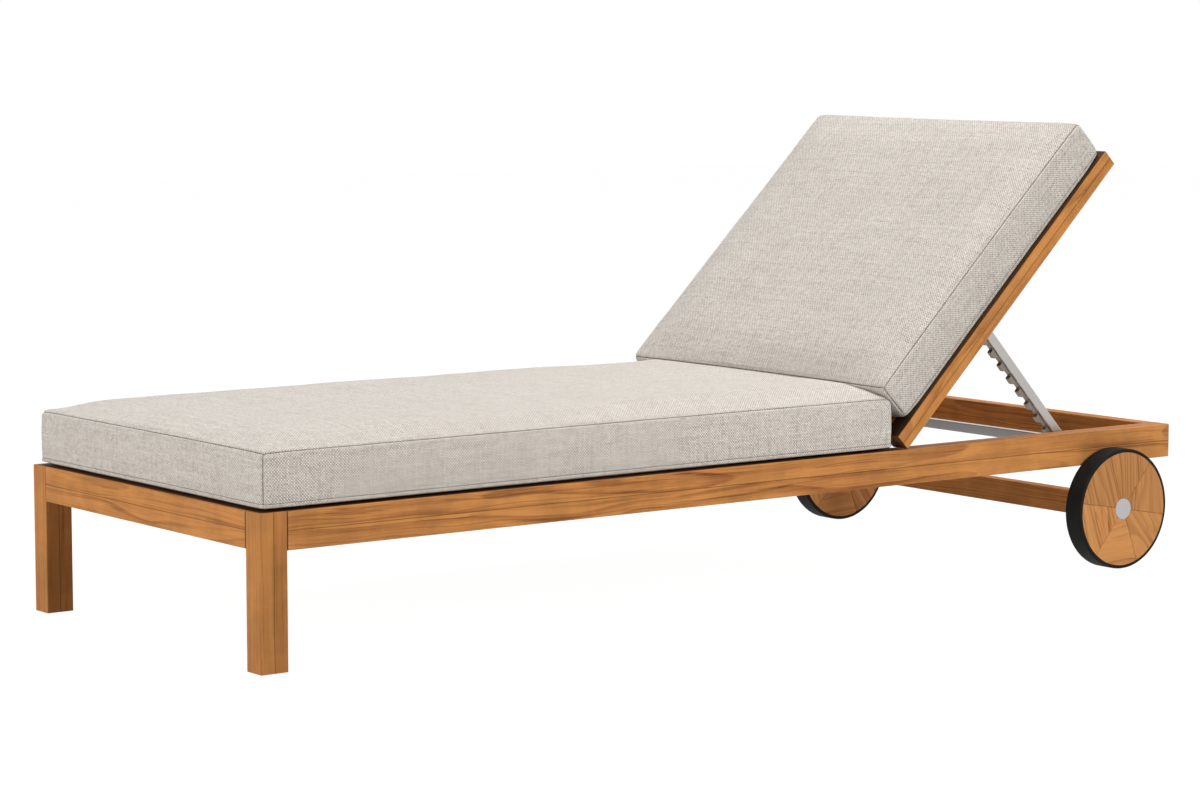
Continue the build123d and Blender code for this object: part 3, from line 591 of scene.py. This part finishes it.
class LOUNGER_OT_timber(bpy.types.Operator):
    """Finish the rails, legs, slats and the back's frame in oiled hardwood"""

    bl_idname = "lounger.timber"
    bl_label = "Timber"

    def execute(self, context):
        settings = context.scene.lounger_timber
        # Node, axis of the grain, axis across the glue line, whether it is glued of two boards, and tone.
        straight = (
            # The far side rail's low tone, 0.80, is painted shade for the shade that falls inside the
            # frame.
            ("side_rail_left", 1, 2, True, 0.80), ("side_rail_right", 1, 2, True, 1.0),
            ("foot_rail", 0, 2, True, 0.96), ("head_rail", 0, 2, True, 1.0),
            ("hinge_rail", 0, 2, False, 0.95),
            ("leg_left", 2, 1, True, 0.87), ("leg_right", 2, 1, True, 0.86),
            ("seat_ledger_left", 1, 2, False, 0.92), ("seat_ledger_right", 1, 2, False, 0.94),
            ("centre_bearer", 1, 2, False, 0.93), ("seat_slats", 0, 2, False, 0.97),
            ("axle_beam", 0, 2, False, 1.16), ("wheel_post_left", 2, 1, False, 0.95),
            ("wheel_post_right", 2, 1, False, 0.96),
        )
        rail_top = span("side_rail_left")[1].z
        leg_inner, leg_back = span("leg_right")[0].x, span("leg_right")[1].y
        past_leg = (leg_back, no_joint[1])
        joined = {"side_rail_left": past_leg, "side_rail_right": past_leg,
                  "foot_rail": (-leg_inner, leg_inner)}
        contrast = {"leg_left": 0.7, "leg_right": 0.7, "side_rail_left": 1.4, "side_rail_right": 1.4}
        # These boards get painted shade on their tops where they lie under the seat cushion.
        topped = ("side_rail_left", "side_rail_right", "foot_rail", "leg_left", "leg_right")
        for number, (name, along, across, glued, tone) in enumerate(straight):
            dress(name, timber_material(
                settings, name, span(name)[2], along, across, glued=glued, number=number, tone=tone,
                joined=joined.get(name, no_joint), painted_shade_top=rail_top if name in topped else None,
                contrast=contrast.get(name, 1.0)))
        tilted = (
            ("back_stile_left", 1, 2, True, 0.98), ("back_stile_right", 1, 2, True, 1.0),
            ("back_bottom_rail", 0, 2, False, 0.96), ("back_top_rail", 0, 2, False, 0.97),
            ("back_slats", 0, 2, False, 0.99),
        )
        for number, (name, along, across, glued, tone) in enumerate(tilted, 20):
            low, high, centre = span(name)
            # Stiles get painted shade near their low ends and under the back cushion.
            corner_shade = None
            if name.startswith("back_stile"):
                places = [vertex.co - centre for vertex in bpy.data.objects[name].data.vertices]
                outer = 2 / (high.x - low.x) * (1 if centre.x > 0 else -1)
                corner_shade = (min(place.dot(along_back) for place in places), outer,
                          max(place.dot(out_of_back) for place in places))
            dress(name, timber_material(
                settings, name, centre, along, across, back_tilt, glued, number, tone, corner_shade=corner_shade))
        return {"FINISHED"}


class LOUNGER_OT_wheels(bpy.types.Operator):
    """Finish the wheels' wooden segments, each with its own run of grain"""

    bl_idname = "lounger.wheels"
    bl_label = "Wheel discs"

    # Turn of the first joint, and the direction of the grain in each segment, in degrees.
    first_joint = 50.0
    grain_turns = (92.0, 104.0, 112.0, 2.0, 124.0, 98.0)
    segments = len(grain_turns)

    def execute(self, context):
        settings = context.scene.lounger_timber
        for side, number in (("left", 31), ("right", 37)):
            name = "wheel_disc_" + side
            material, b, shader = plain_material("timber_" + name)
            x, y, z = b.split(b.vector("SUBTRACT", b.place(), tuple(span(name)[2])))
            # Segments are counted round from the first joint, and two whole turns keep the count positive.
            around = b.math("SUBTRACT", b.math("ARCTAN2", z, y), radians(self.first_joint))
            count = b.math("FLOOR", b.math("DIVIDE", around, 2 * pi / self.segments))
            count = b.math("ADD", count, 2.0 * self.segments)
            segment = b.math("MODULO", count, float(self.segments))
            angle = 0.0
            for index, turn in enumerate(self.grain_turns):
                here = b.math("COMPARE", segment, float(index), 0.25)
                angle = b.plus(angle, here, radians(turn))
            flat = b.join(y, z, b.plus(x, segment, 0.23))
            turned = b.turned(flat, b.math("MULTIPLY", angle, -1.0), "Z_AXIS")
            # The segments are sawn from paler, wilder pieces.
            pale = Vector(settings.light) * 1.15 + Vector((0, 0.02, 0.02))
            deep = Vector(settings.dark).lerp(pale, 0.05)
            grain = grain_node(
                b, settings, vector=b.vector("ADD", turned, (0.0, 0.3, 0.0)), light=opaque(pale),
                dark=opaque(deep), ring_spacing=settings.ring_spacing * 1.3,
                waviness=settings.waviness * 2.6, board=b.plus(float(number), segment, 2.3))
            tone = b.between(b.noise(b.join(segment, float(number), 0.0), 3.1, 0.0), 0.3, 0.7, 0.86, 1.10)
            shade = b.vector("SCALE", grain.outputs["Color"])
            b.link(tone, shade.node.inputs["Scale"])
            b.link(shade, shader.inputs["Base Color"])
            oiled(b, shader, grain, b.math("ADD", grain.outputs["Gloss"], settings.roughness))
            dress(name, material)
        return {"FINISHED"}


# Metal, rubber and nylon

# Brightness of the brushing's dark lines, and of a face with painted shade below its lit top edge.
brushed_share = 0.82
shaded_face_share = 0.5
lit_edge = 0.0012

# How much the roughness of metal and rubber varies over a surface.
gloss_range = 0.16


def uneven_gloss(b, shader, noise_value, rough):
    """A roughness that varies about its mean."""
    varied = b.math("MULTIPLY", noise_value, gloss_range)
    b.link(b.math("ADD", varied, rough - gloss_range / 2), shader.inputs["Roughness"])


def steel_material(settings, name, waves, tint, rough, tilt=0.0, lit_above=None):
    """Stainless steel, brushed along the axis with the fewest waves per metre.

    Above the height given it keeps its full brightness, and below it the face gets painted shade."""
    material, b, shader = plain_material(name)
    place = b.place()
    if tilt:
        place = b.turned(place, -tilt, "X_AXIS")
    brushed = b.drawn(place, waves, 3.0, 0.6)
    cloud = b.noise(place, 22.0, 2.0)
    colour = [channel * share for channel, share in zip(settings.steel, tint)]
    shade = b.plus(b.math("MULTIPLY", brushed, 0.7), cloud, 0.3)
    finish = b.mix(shade, opaque(colour), opaque(channel * brushed_share for channel in colour))
    # Painted shade: the face below the lit top edge is darker.
    if lit_above:
        shaded_face = b.between(b.split(b.place())[2], lit_above - lit_edge, lit_above, 1.0, 0.0)
        finish = b.mix(shaded_face, finish, opaque(channel * shaded_face_share for channel in colour))
    b.link(finish, shader.inputs["Base Color"])
    uneven_gloss(b, shader, brushed, rough)
    shader.inputs["Metallic"].default_value = 1.0
    b.relief(shader, brushed, 0.2, 0.0002)
    return material


class LOUNGER_OT_metal(bpy.types.Operator):
    """Finish the stay, catch bar, hinges, axles and caps in brushed steel"""

    bl_idname = "lounger.metal"
    bl_label = "Metal"

    def execute(self, context):
        settings = context.scene.lounger_metal
        brushed_across = (14.0, 1800.0, 1800.0)
        bar_top = span("catch_bar")[1].z
        # Material, waves per metre of the brushing, tint, roughness, tilt, lit edge, and nodes.
        for name, waves, tint, rough, tilt, lit_above, nodes in (
            ("steel_across", brushed_across, (1.0, 1.0, 1.0), 0.34, 0.0, None,
             ("stay_rod", "hinge_pins", "stub_axle_left", "stub_axle_right")),
            # The catch bar's face below its top gets painted shade.
            ("steel_catch_painted_shade", brushed_across, (1.0, 1.0, 1.0), 0.34, 0.0, bar_top, ("catch_bar",)),
            ("steel_arm", (1500.0, 12.0, 1500.0), (0.88, 0.86, 0.83), 0.36, -stay_tilt, None,
             ("stay_arm_left", "stay_arm_right")),
            # The rack's dark, brownish tint is painted shade.
            ("steel_rack_painted_shade", (900.0, 40.0, 900.0), (0.46, 0.40, 0.34), 0.5, -stay_tilt, None,
             ("stay_rack_left", "stay_rack_right")),
            ("steel_small", (420.0, 420.0, 420.0), (0.95, 0.95, 0.95), 0.4, 0.0, None,
             ("catch_bar_rosettes", "hinge_leaves_base", "hinge_leaves_back", "hinge_screws_base",
              "hinge_screws_back", "thrust_washers", "axle_clips")),
            ("steel_cap", (500.0, 1400.0, 60.0), (0.88, 0.88, 0.88), 0.42, 0.0, None,
             ("hub_cap_left", "hub_cap_right")),
        ):
            material = steel_material(settings, name, waves, tint, rough, tilt, lit_above)
            for node in nodes:
                dress(node, material)
        return {"FINISHED"}


class LOUNGER_OT_rubber(bpy.types.Operator):
    """Finish the tyres in smooth rubber and the small mouldings in nylon"""

    bl_idname = "lounger.rubber"
    bl_label = "Rubber and nylon"

    def execute(self, context):
        settings = context.scene.lounger_metal
        for name, colour, rough, nodes in (
            ("tyre_rubber", settings.rubber, 0.66, ("tyre_left", "tyre_right")),
            ("moulded_nylon", settings.nylon, 0.58,
             ("arm_plugs", "hub_bush_left", "hub_bush_right", "leg_glides", "stay_bushes")),
        ):
            material, b, shader = plain_material(name)
            place = b.place()
            dust = b.noise(place, 34.0, 4.0, 0.6)
            speck = b.noise(place, 1400.0, 2.0, 0.6)
            dusty = opaque(channel * 1.8 + 0.002 for channel in colour)
            b.link(b.mix(b.between(dust, 0.45, 0.8), opaque(colour), dusty), shader.inputs["Base Color"])
            uneven_gloss(b, shader, dust, rough)
            b.relief(shader, speck, 0.25, 0.0003)
            shader.inputs["Specular IOR Level"].default_value = 0.12
            for node in nodes:
                dress(node, material)
        return {"FINISHED"}


# Cushions

# Steps from a seam to the loops beside it, close enough to carry its dip, and two more past the edge.
seam_steps = (0.0012, 0.0026, 0.0045, 0.0065, 0.0078, 0.0091, 0.0115)
steps_past_edge = (0.006, 0.011)

# Each side's panel of cloth is cut from its own place on the bolt.
panel_shift = 1.713
panel_shift_share = 0.37

# Height over which the base's edges grow to the others, reach of a corner's roundness, and the share of
# it that the lower corners of a level end lose.
base_fade = 0.02
corner_fade = 0.03
level_corner_share = 0.75

# How far the borders draw in between the corners, and the lower seam's share of a seam's depth.
border_draw = 0.003
lower_dip_share = 0.4

# Widths beside a seam: its painted shade, the strip that is held while the cover swells, the strip with
# fewer dents, the puckers and the crease inside them.
shade_width = 0.0030
held_width = 0.012
calm_width = 0.03
pucker_width = 0.016
crease_width = 0.0026

# Strength of the painted shade at the lower seam and on the base, the base's thickness, and the share of
# the border under that seam that stays plain.
lower_shade_share = 0.72
base_shade_share = 0.75
base_skin = 0.001
plain_share = 0.6

# Waves per metre and height of the top's dents and ripples, and of the puckers.
dent_waves, dent_height = 5.5, 0.0022
ripple_waves, ripple_height = 17.0, 0.0007
pucker_waves, pucker_height = 62.0, 0.0010
border_dent_share = 0.3

# The top is what lies above this share of the height, and puckers point away from this share of a place.
top_share = 0.98
inward_share = 0.9

# The back cushion's end presses the seat's in: how softly that starts, and the gap that it leaves.
press_round = 0.003
press_gap = 0.0008

# Lengths below this count as none.
tiny = 1e-7


def cushion_material(settings, name, tone):
    """Heathered cover cloth: weave on the UV map, in metres, and painted shade at the seams and on the
    base, broken by stitches.
    """
    material, b, shader = plain_material(name)
    pale, deep = (opaque(channel * tone for channel in colour) for colour in (settings.pale, settings.deep))
    sheet = b.node("ShaderNodeUVMap", uv_map="cloth").outputs[0]
    weave = b.node("ShaderNodeGroup", {"Vector": sheet, "Pale": pale, "Deep": deep,
                                       "Yarn": settings.yarn},
                   node_tree=shared("Slub weave", weave_group))
    seam = b.node("ShaderNodeAttribute", attribute_name="seam").outputs["Fac"]
    stitch = b.noise(sheet, 210.0, 1.0)
    dark = b.math("MULTIPLY", b.between(seam, 0.3, 0.85), b.between(stitch, 0.3, 0.6, 0.62, 1.0))
    b.link(b.mix(dark, weave.outputs["Color"], opaque(settings.seam)), shader.inputs["Base Color"])
    shader.inputs["Roughness"].default_value = 0.92
    shader.inputs["Sheen Weight"].default_value = 0.25
    shader.inputs["Sheen Roughness"].default_value = 0.5
    shader.inputs["Specular IOR Level"].default_value = 0.2
    b.relief(shader, weave.outputs["Height"], 0.55, 0.0007)
    return material


def spaced(half, cell, edge):
    """Places of the loops across one side of a box, close together beside its seams."""
    fine = [*seam_steps, *(edge + step for step in steps_past_edge)]
    inner = half - fine[-1]
    count = max(2, round(2 * inner / cell))
    middle = [-inner + 2 * inner * step / count for step in range(1, count)]
    return [-half + step for step in fine] + middle + [half - step for step in reversed(fine)]


def runs_along(line, direction):
    """Whether an edge of a mesh runs along a direction."""
    return abs((line.verts[0].co - line.verts[1].co).normalized().dot(direction)) > 0.99


def panelled_box(name, size, cell, edge):
    """A closed box cut into cells, with a UV map in metres and a panel number on each face."""
    bm = bmesh.new()
    bmesh.ops.create_cube(bm, size=1.0)
    bmesh.ops.scale(bm, vec=size, verts=bm.verts)
    for axis in range(3):
        normal = Vector([float(axis == i) for i in range(3)])
        # The first cuts are made together, and the fine ones beside the seams are slid into place.
        places = spaced(size[axis] / 2, cell, edge)
        edges = [line for line in bm.edges if runs_along(line, normal)]
        bmesh.ops.subdivide_edges(bm, edges=edges, cuts=len(places), use_grid_fill=False)
        levels = [-size[axis] / 2, *places, size[axis] / 2]
        step = size[axis] / (len(levels) - 1)
        for vertex in bm.verts:
            vertex.co[axis] = levels[round((vertex.co[axis] + size[axis] / 2) / step)]
    bm.normal_update()
    uv = bm.loops.layers.uv.new("cloth")
    panel = bm.faces.layers.int.new("panel")
    for face in bm.faces:
        axis = max(range(3), key=lambda i: abs(face.normal[i]))
        face[panel] = axis * 2 + (face.normal[axis] > 0)
        across, up = ((1, 2), (0, 2), (0, 1))[axis]
        offset = face[panel] * panel_shift
        for loop in face.loops:
            loop[uv].uv = (loop.vert.co[across] + offset, loop.vert.co[up] + offset * panel_shift_share)
        face.smooth = True
    mesh = bpy.data.meshes.new(name)
    bm.to_mesh(mesh)
    bm.free()
    return mesh


def ease(value, limit):
    """Holds a swelling below its limit, softly."""
    return limit * tanh(value / limit) if limit else 0.0


def crown_share(point, half, settings, level_end):
    """How far the crown has risen over a point of the cut box, from 0 at the seams to 1.

    At a level end, the one in Y, the crown keeps its height."""
    share = 1.0
    for axis in (0, 1):
        if axis == 1 and level_end and point.y > 0:
            continue
        inside = half[axis] - settings.edge - abs(point[axis])
        fall = max(0.0, 1 - max(0.0, inside) / settings.shoulder)
        share *= 1 - fall * fall
    return share


def sewn_shape(point, half, settings, level_end, crown):
    """Where a point of the cut box lies on the sewn cover: rounded edges, dips at seams, drawn-in sides."""
    gaps = [half[i] - abs(point[i]) for i in range(3)]
    apart = sorted(gaps)[2]
    low = max(0.0, 1 - (point.z + half[2]) / base_fade)
    edge = settings.edge + (settings.base_edge - settings.edge) * low
    corner = exp(-((apart / corner_fade) ** 2)) * (1 - level_corner_share * low * level_end)
    edge += (settings.corner - edge) * corner
    core = Vector([max(-(half[i] - edge), min(half[i] - edge, point[i])) for i in range(3)])
    out = point - core
    radius = edge
    ranked = sorted(abs(out[i]) for i in range(3))
    if ranked[1] > tiny and point.z > -half[2] + edge:
        # The distance from the seam, which lies where two sides are equally far out.
        seam = (1 - ranked[1] / ranked[2]) * edge
        radius -= settings.seam_depth * exp(-((seam / settings.seam_width) ** 2))
    placed = core + out.normalized() * radius if out.length > tiny else point.copy()
    # The sides draw in between the corners, and the lower seam runs round just above the base.
    lower = point.z + half[2] - settings.lower_seam
    dip = settings.seam_depth * lower_dip_share * exp(-((lower / settings.seam_width) ** 2))
    for axis, other in ((0, 1), (1, 0)):
        if abs(out[axis]) > tiny:
            share = 1 - (point[other] / half[other]) ** 2
            pull = border_draw * share + dip * abs(out[axis]) / ranked[2]
            placed[axis] -= pull * (1 if point[axis] > 0 else -1)
    if point.z > 0 and gaps[2] < 10 * tiny:
        placed.z += crown * crown_share(point, half, settings, level_end)
    return placed


def seam_share(point, half, width, lower=None):
    """How near a point of the cut box lies to a seam, from 0 to 1; the lower seam's height may be given,
    and then the base gets painted shade too.
    """
    gaps = sorted(half[i] - abs(point[i]) for i in range(3))
    share = max(0.0, 1 - gaps[1] / width)
    if lower is None:
        return share
    if point.z < -half[2] + base_skin:
        return base_shade_share
    if point.z < -half[2] + lower * plain_share:
        share = 0.0
    return max(share, lower_shade_share - abs(point.z + half[2] - lower) / width)


def swell_cover(piece, settings, half):
    """Swell the cover in a cloth simulation, held at its seams, and return how far each point moved."""
    mesh = piece.data
    rest = [vertex.co.copy() for vertex in mesh.vertices]
    hold = piece.vertex_groups.new(name="held")
    for index, place in enumerate(cut_places(mesh)):
        share = seam_share(place, half, held_width)
        if share > 0:
            hold.add([index], share, "REPLACE")
    cloth = piece.modifiers.new("Cloth", "CLOTH")
    cloth.settings.quality = 4
    cloth.settings.mass = 0.4
    cloth.settings.tension_stiffness = 25
    cloth.settings.compression_stiffness = 25
    cloth.settings.shear_stiffness = 12
    cloth.settings.bending_stiffness = 0.6
    cloth.settings.use_pressure = True
    cloth.settings.uniform_pressure_force = settings.pressure
    cloth.settings.vertex_group_mass = "held"
    cloth.settings.pin_stiffness = 20
    cloth.settings.effector_weights.gravity = 0
    cloth.collision_settings.use_collision = False
    scene = bpy.context.scene
    cloth.point_cache.frame_start = 1
    cloth.point_cache.frame_end = settings.frames
    for number in range(1, settings.frames + 1):
        scene.frame_set(number)
    evaluated = piece.evaluated_get(bpy.context.evaluated_depsgraph_get())
    swollen = evaluated.to_mesh()
    moved = [vertex.co - place for vertex, place in zip(swollen.vertices, rest)]
    evaluated.to_mesh_clear()
    piece.modifiers.remove(cloth)
    piece.vertex_groups.remove(hold)
    scene.frame_set(1)
    return moved


def cut_places(mesh):
    """Places of the points in the cut box, kept from before the cover was shaped."""
    flat = [0.0] * (3 * len(mesh.vertices))
    mesh.attributes["cut"].data.foreach_get("vector", flat)
    return [Vector(flat[i:i + 3]) for i in range(0, len(flat), 3)]


def filled_place(sewn, place, move, half, settings, seed):
    """Where a point of the sewn cover lies when it is filled: swollen, dented, and puckered at seams."""
    away = sewn.copy()
    # The underside lies flat on the slats, and the rest keeps a soft, slightly uneven swell.
    limit = settings.swell if place.z > -half[2] + settings.edge else 0.0
    flat = Vector((move.x, move.y, 0))
    if flat.length > tiny and limit:
        away += flat * (ease(flat.length, settings.border_swell) / flat.length)
    away.z += ease(move.z, limit)
    fade = 1 - seam_share(place, half, calm_width)
    dent = noise.noise((place + Vector((seed, 0, 0))) * dent_waves) * dent_height
    dent += noise.noise((place + Vector((0, seed, 0))) * ripple_waves) * ripple_height
    outward = (away - Vector((place.x, place.y, 0)) * inward_share).normalized()
    if place.z > half[2] * top_share:
        away.z += dent * fade
    elif limit:
        away += Vector((outward.x, outward.y, 0)) * dent * border_dent_share * fade
    near = seam_share(place, half, pucker_width) * (1 - seam_share(place, half, crease_width))
    pucker = noise.noise((place + Vector((0, 0, seed))) * pucker_waves) * pucker_height
    away += outward * pucker * near
    away.z = max(away.z, -half[2])
    return away


def make_cushion(context, name, node, body, size, centre, turn, seed, crown, tone, rest=None):
    """One box cushion: cut, sewn, swollen by simulation, then dressed and placed.

    Rest gives a point and the direction of what leans on the cushion's end, which presses it in."""
    settings = context.scene.lounger_cushion
    half = [length / 2 for length in size]
    mesh = panelled_box(name, size, settings.cell, settings.edge)
    cut = mesh.attributes.new("cut", "FLOAT_VECTOR", "POINT")
    cut.data.foreach_set("vector", [value for vertex in mesh.vertices for value in vertex.co])
    places = cut_places(mesh)
    for vertex, place in zip(mesh.vertices, places):
        vertex.co = sewn_shape(place, half, settings, rest is not None, crown)
    piece = bpy.data.objects.new(name, mesh)
    context.scene.collection.objects.link(piece)
    moved = swell_cover(piece, settings, half)
    for vertex, place, move in zip(mesh.vertices, places, moved):
        away = filled_place(vertex.co, place, move, half, settings, seed)
        if rest:
            # The pressing starts softly just before the contact.
            past = (away + centre - rest[0]).dot(rest[1])
            away -= rest[1] * (past + (past ** 2 + press_round ** 2) ** 0.5) / 2
        vertex.co = away
    # The seam mask carries painted shade along the seams and on the base.
    mask = mesh.attributes.new("seam", "FLOAT", "POINT")
    mask.data.foreach_set(
        "value", [seam_share(place, half, shade_width, settings.lower_seam) for place in places])
    mesh.attributes.remove(mesh.attributes["cut"])
    mesh.transform(Matrix.Translation(centre) @ Matrix.Rotation(turn, 4, "X"))
    mesh.materials.append(cushion_material(context.scene.lounger_cloth, name + "_cloth", tone))
    smooth = piece.modifiers.new("Smooth", "SUBSURF")
    smooth.levels = 1
    smooth.render_levels = 1
    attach(piece, body)
    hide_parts(node)
    return piece


class LOUNGER_OT_seat_cushion(bpy.types.Operator):
    """Sew and fill the seat cushion"""

    bl_idname = "lounger.seat_cushion"
    bl_label = "Seat cushion"

    def execute(self, context):
        low, high, centre = span("seat_cushion")
        # The cover is a little fuller than its plain solid, and reaches a little further at the hinge.
        thickness, further = 0.0915, 0.0105
        size = (high.x - low.x, high.y - low.y + further, thickness)
        place = Vector((centre.x, centre.y + further / 2, low.z + thickness / 2))
        contact = (hinge_line + along_back * (back_cushion_start - press_gap), along_back)
        make_cushion(context, "seat_cushion_cover", "seat_cushion", "frame", size, place, turn=0.0,
                     seed=3.1, crown=context.scene.lounger_cushion.seat_crown, tone=1.0, rest=contact)
        return {"FINISHED"}


class LOUNGER_OT_back_cushion(bpy.types.Operator):
    """Sew and fill the back cushion"""

    bl_idname = "lounger.back_cushion"
    bl_label = "Back cushion"

    def execute(self, context):
        low, high = span("back_cushion")[:2]
        length, thickness = 0.663, 0.084
        size = (high.x - low.x, length, thickness)
        place = hinge_line + along_back * (back_cushion_start + length / 2)
        place += out_of_back * (back_cushion_seat + thickness / 2)
        make_cushion(context, "back_cushion_cover", "back_cushion", "back", size, place, turn=back_tilt,
                     seed=8.4, crown=context.scene.lounger_cushion.crown, tone=0.94)
        return {"FINISHED"}


# Studio

floor_size = 14.0
sensor_width = 36.0

# Place that the lamps point at, and the size of the smaller soft boxes.
lamp_aim = Vector((0.0, 0.0, 0.3))
soft_box = (3.0, 2.4)


class LOUNGER_OT_stage(bpy.types.Operator):
    """Set up the floor, the light and the camera"""

    bl_idname = "lounger.stage"
    bl_label = "Studio"

    def floor(self, context):
        bm = bmesh.new()
        bmesh.ops.create_grid(bm, x_segments=1, y_segments=1, size=floor_size)
        mesh = bpy.data.meshes.new("studio_floor")
        bm.to_mesh(mesh)
        bm.free()
        plane = bpy.data.objects.new("studio_floor", mesh)
        context.scene.collection.objects.link(plane)
        material, b, shader = plain_material("studio_floor")
        b.link((0.72, 0.72, 0.72, 1.0), shader.inputs["Base Color"])
        shader.inputs["Roughness"].default_value = 0.9
        shader.inputs["Specular IOR Level"].default_value = 0.0
        # In view the floor is white, with a share of the lounger's shadow left in it.
        glow = b.node("ShaderNodeEmission", {"Color": white, "Strength": 1.135})
        share = b.math("MULTIPLY", b.in_view(), 0.86)
        mixed = b.node("ShaderNodeMixShader", {0: share, 1: shader.outputs[0], 2: glow.outputs[0]})
        output = next(n for n in b.tree.nodes if n.type == "OUTPUT_MATERIAL")
        b.link(mixed.outputs[0], output.inputs["Surface"])
        mesh.materials.append(material)

    def sky(self, context, strength):
        world = bpy.data.worlds.new("studio")
        world.use_nodes = True
        world.node_tree.nodes.clear()
        b = Board(world.node_tree)
        soft = b.node("ShaderNodeBackground", {"Color": white, "Strength": strength})
        plain = b.node("ShaderNodeBackground", {"Color": white, "Strength": 1.0})
        mixed = b.node("ShaderNodeMixShader", {0: b.in_view(), 1: soft.outputs[0], 2: plain.outputs[0]})
        output = b.node("ShaderNodeOutputWorld")
        b.link(mixed.outputs[0], output.inputs["Surface"])
        context.scene.world = world

    def lamp(self, context, name, place, size, power):
        data = bpy.data.lights.new(name, "AREA")
        data.shape = "RECTANGLE"
        data.size, data.size_y = size
        data.energy = power
        lamp = bpy.data.objects.new(name, data)
        lamp.location = place
        lamp.rotation_euler = (lamp_aim - Vector(place)).to_track_quat("-Z", "Y").to_euler()
        context.scene.collection.objects.link(lamp)

    def camera(self, context, settings):
        data = bpy.data.cameras.new("view")
        data.sensor_width = sensor_width
        data.lens = settings.lens
        camera = bpy.data.objects.new("view", data)
        ahead = Vector((sin(settings.heading) * cos(settings.pitch),
                        cos(settings.heading) * cos(settings.pitch), sin(settings.pitch)))
        right = Vector((cos(settings.heading), -sin(settings.heading), 0.0))
        up = right.cross(ahead)
        turn = Matrix((right, up, -ahead)).transposed().to_4x4()
        camera.matrix_world = Matrix.Translation(settings.eye) @ turn
        context.scene.collection.objects.link(camera)
        context.scene.camera = camera

    def execute(self, context):
        settings = context.scene.lounger_stage
        self.floor(context)
        self.sky(context, settings.daylight)
        self.lamp(context, "top_box", (0.0, 0.75, 4.4), (3.6, 4.4), settings.top_light)
        self.lamp(context, "front_box", (-0.4, -5.2, 1.4), soft_box, settings.front_light)
        self.lamp(context, "side_box", (5.2, 1.0, 2.4), soft_box, settings.side_light)
        self.lamp(context, "far_box", (-5.2, 0.6, 2.4), soft_box, settings.far_light)
        self.lamp(context, "head_box", (0.4, 5.4, 2.4), soft_box, settings.head_light)
        self.camera(context, settings)
        context.scene.view_settings.view_transform = "Standard"
        return {"FINISHED"}


# Panel and registration


class LOUNGER_PT_panel(bpy.types.Panel):
    """Steps that finish the lounger, in order"""

    bl_label = "Sun lounger"
    bl_idname = "LOUNGER_PT_panel"
    bl_space_type = "VIEW_3D"
    bl_region_type = "UI"
    bl_category = "Lounger"

    def draw(self, context):
        for operator in steps:
            self.layout.operator(operator.bl_idname)
        for name, kind in settings_kinds:
            box = self.layout.box()
            for key in kind.__annotations__:
                box.prop(getattr(context.scene, name), key)


steps = (LOUNGER_OT_timber, LOUNGER_OT_wheels, LOUNGER_OT_metal, LOUNGER_OT_rubber,
         LOUNGER_OT_seat_cushion, LOUNGER_OT_back_cushion, LOUNGER_OT_stage)
settings_kinds = (
    ("lounger_timber", TimberSettings), ("lounger_cloth", ClothSettings),
    ("lounger_cushion", CushionSettings), ("lounger_metal", MetalSettings),
    ("lounger_stage", StageSettings),
)


def register():
    for name, kind in settings_kinds:
        bpy.utils.register_class(kind)
        setattr(bpy.types.Scene, name, PointerProperty(type=kind))
    for kind in (*steps, LOUNGER_PT_panel):
        bpy.utils.register_class(kind)


def unregister():
    for kind in (LOUNGER_PT_panel, *reversed(steps)):
        bpy.utils.unregister_class(kind)
    for name, kind in reversed(settings_kinds):
        delattr(bpy.types.Scene, name)
        bpy.utils.unregister_class(kind)


def main():
    register()
    bpy.ops.lounger.timber()
    bpy.ops.lounger.wheels()
    bpy.ops.lounger.metal()
    bpy.ops.lounger.rubber()
    bpy.ops.lounger.seat_cushion()
    bpy.ops.lounger.back_cushion()
    bpy.ops.lounger.stage()


if __name__ == "__main__":
    main()
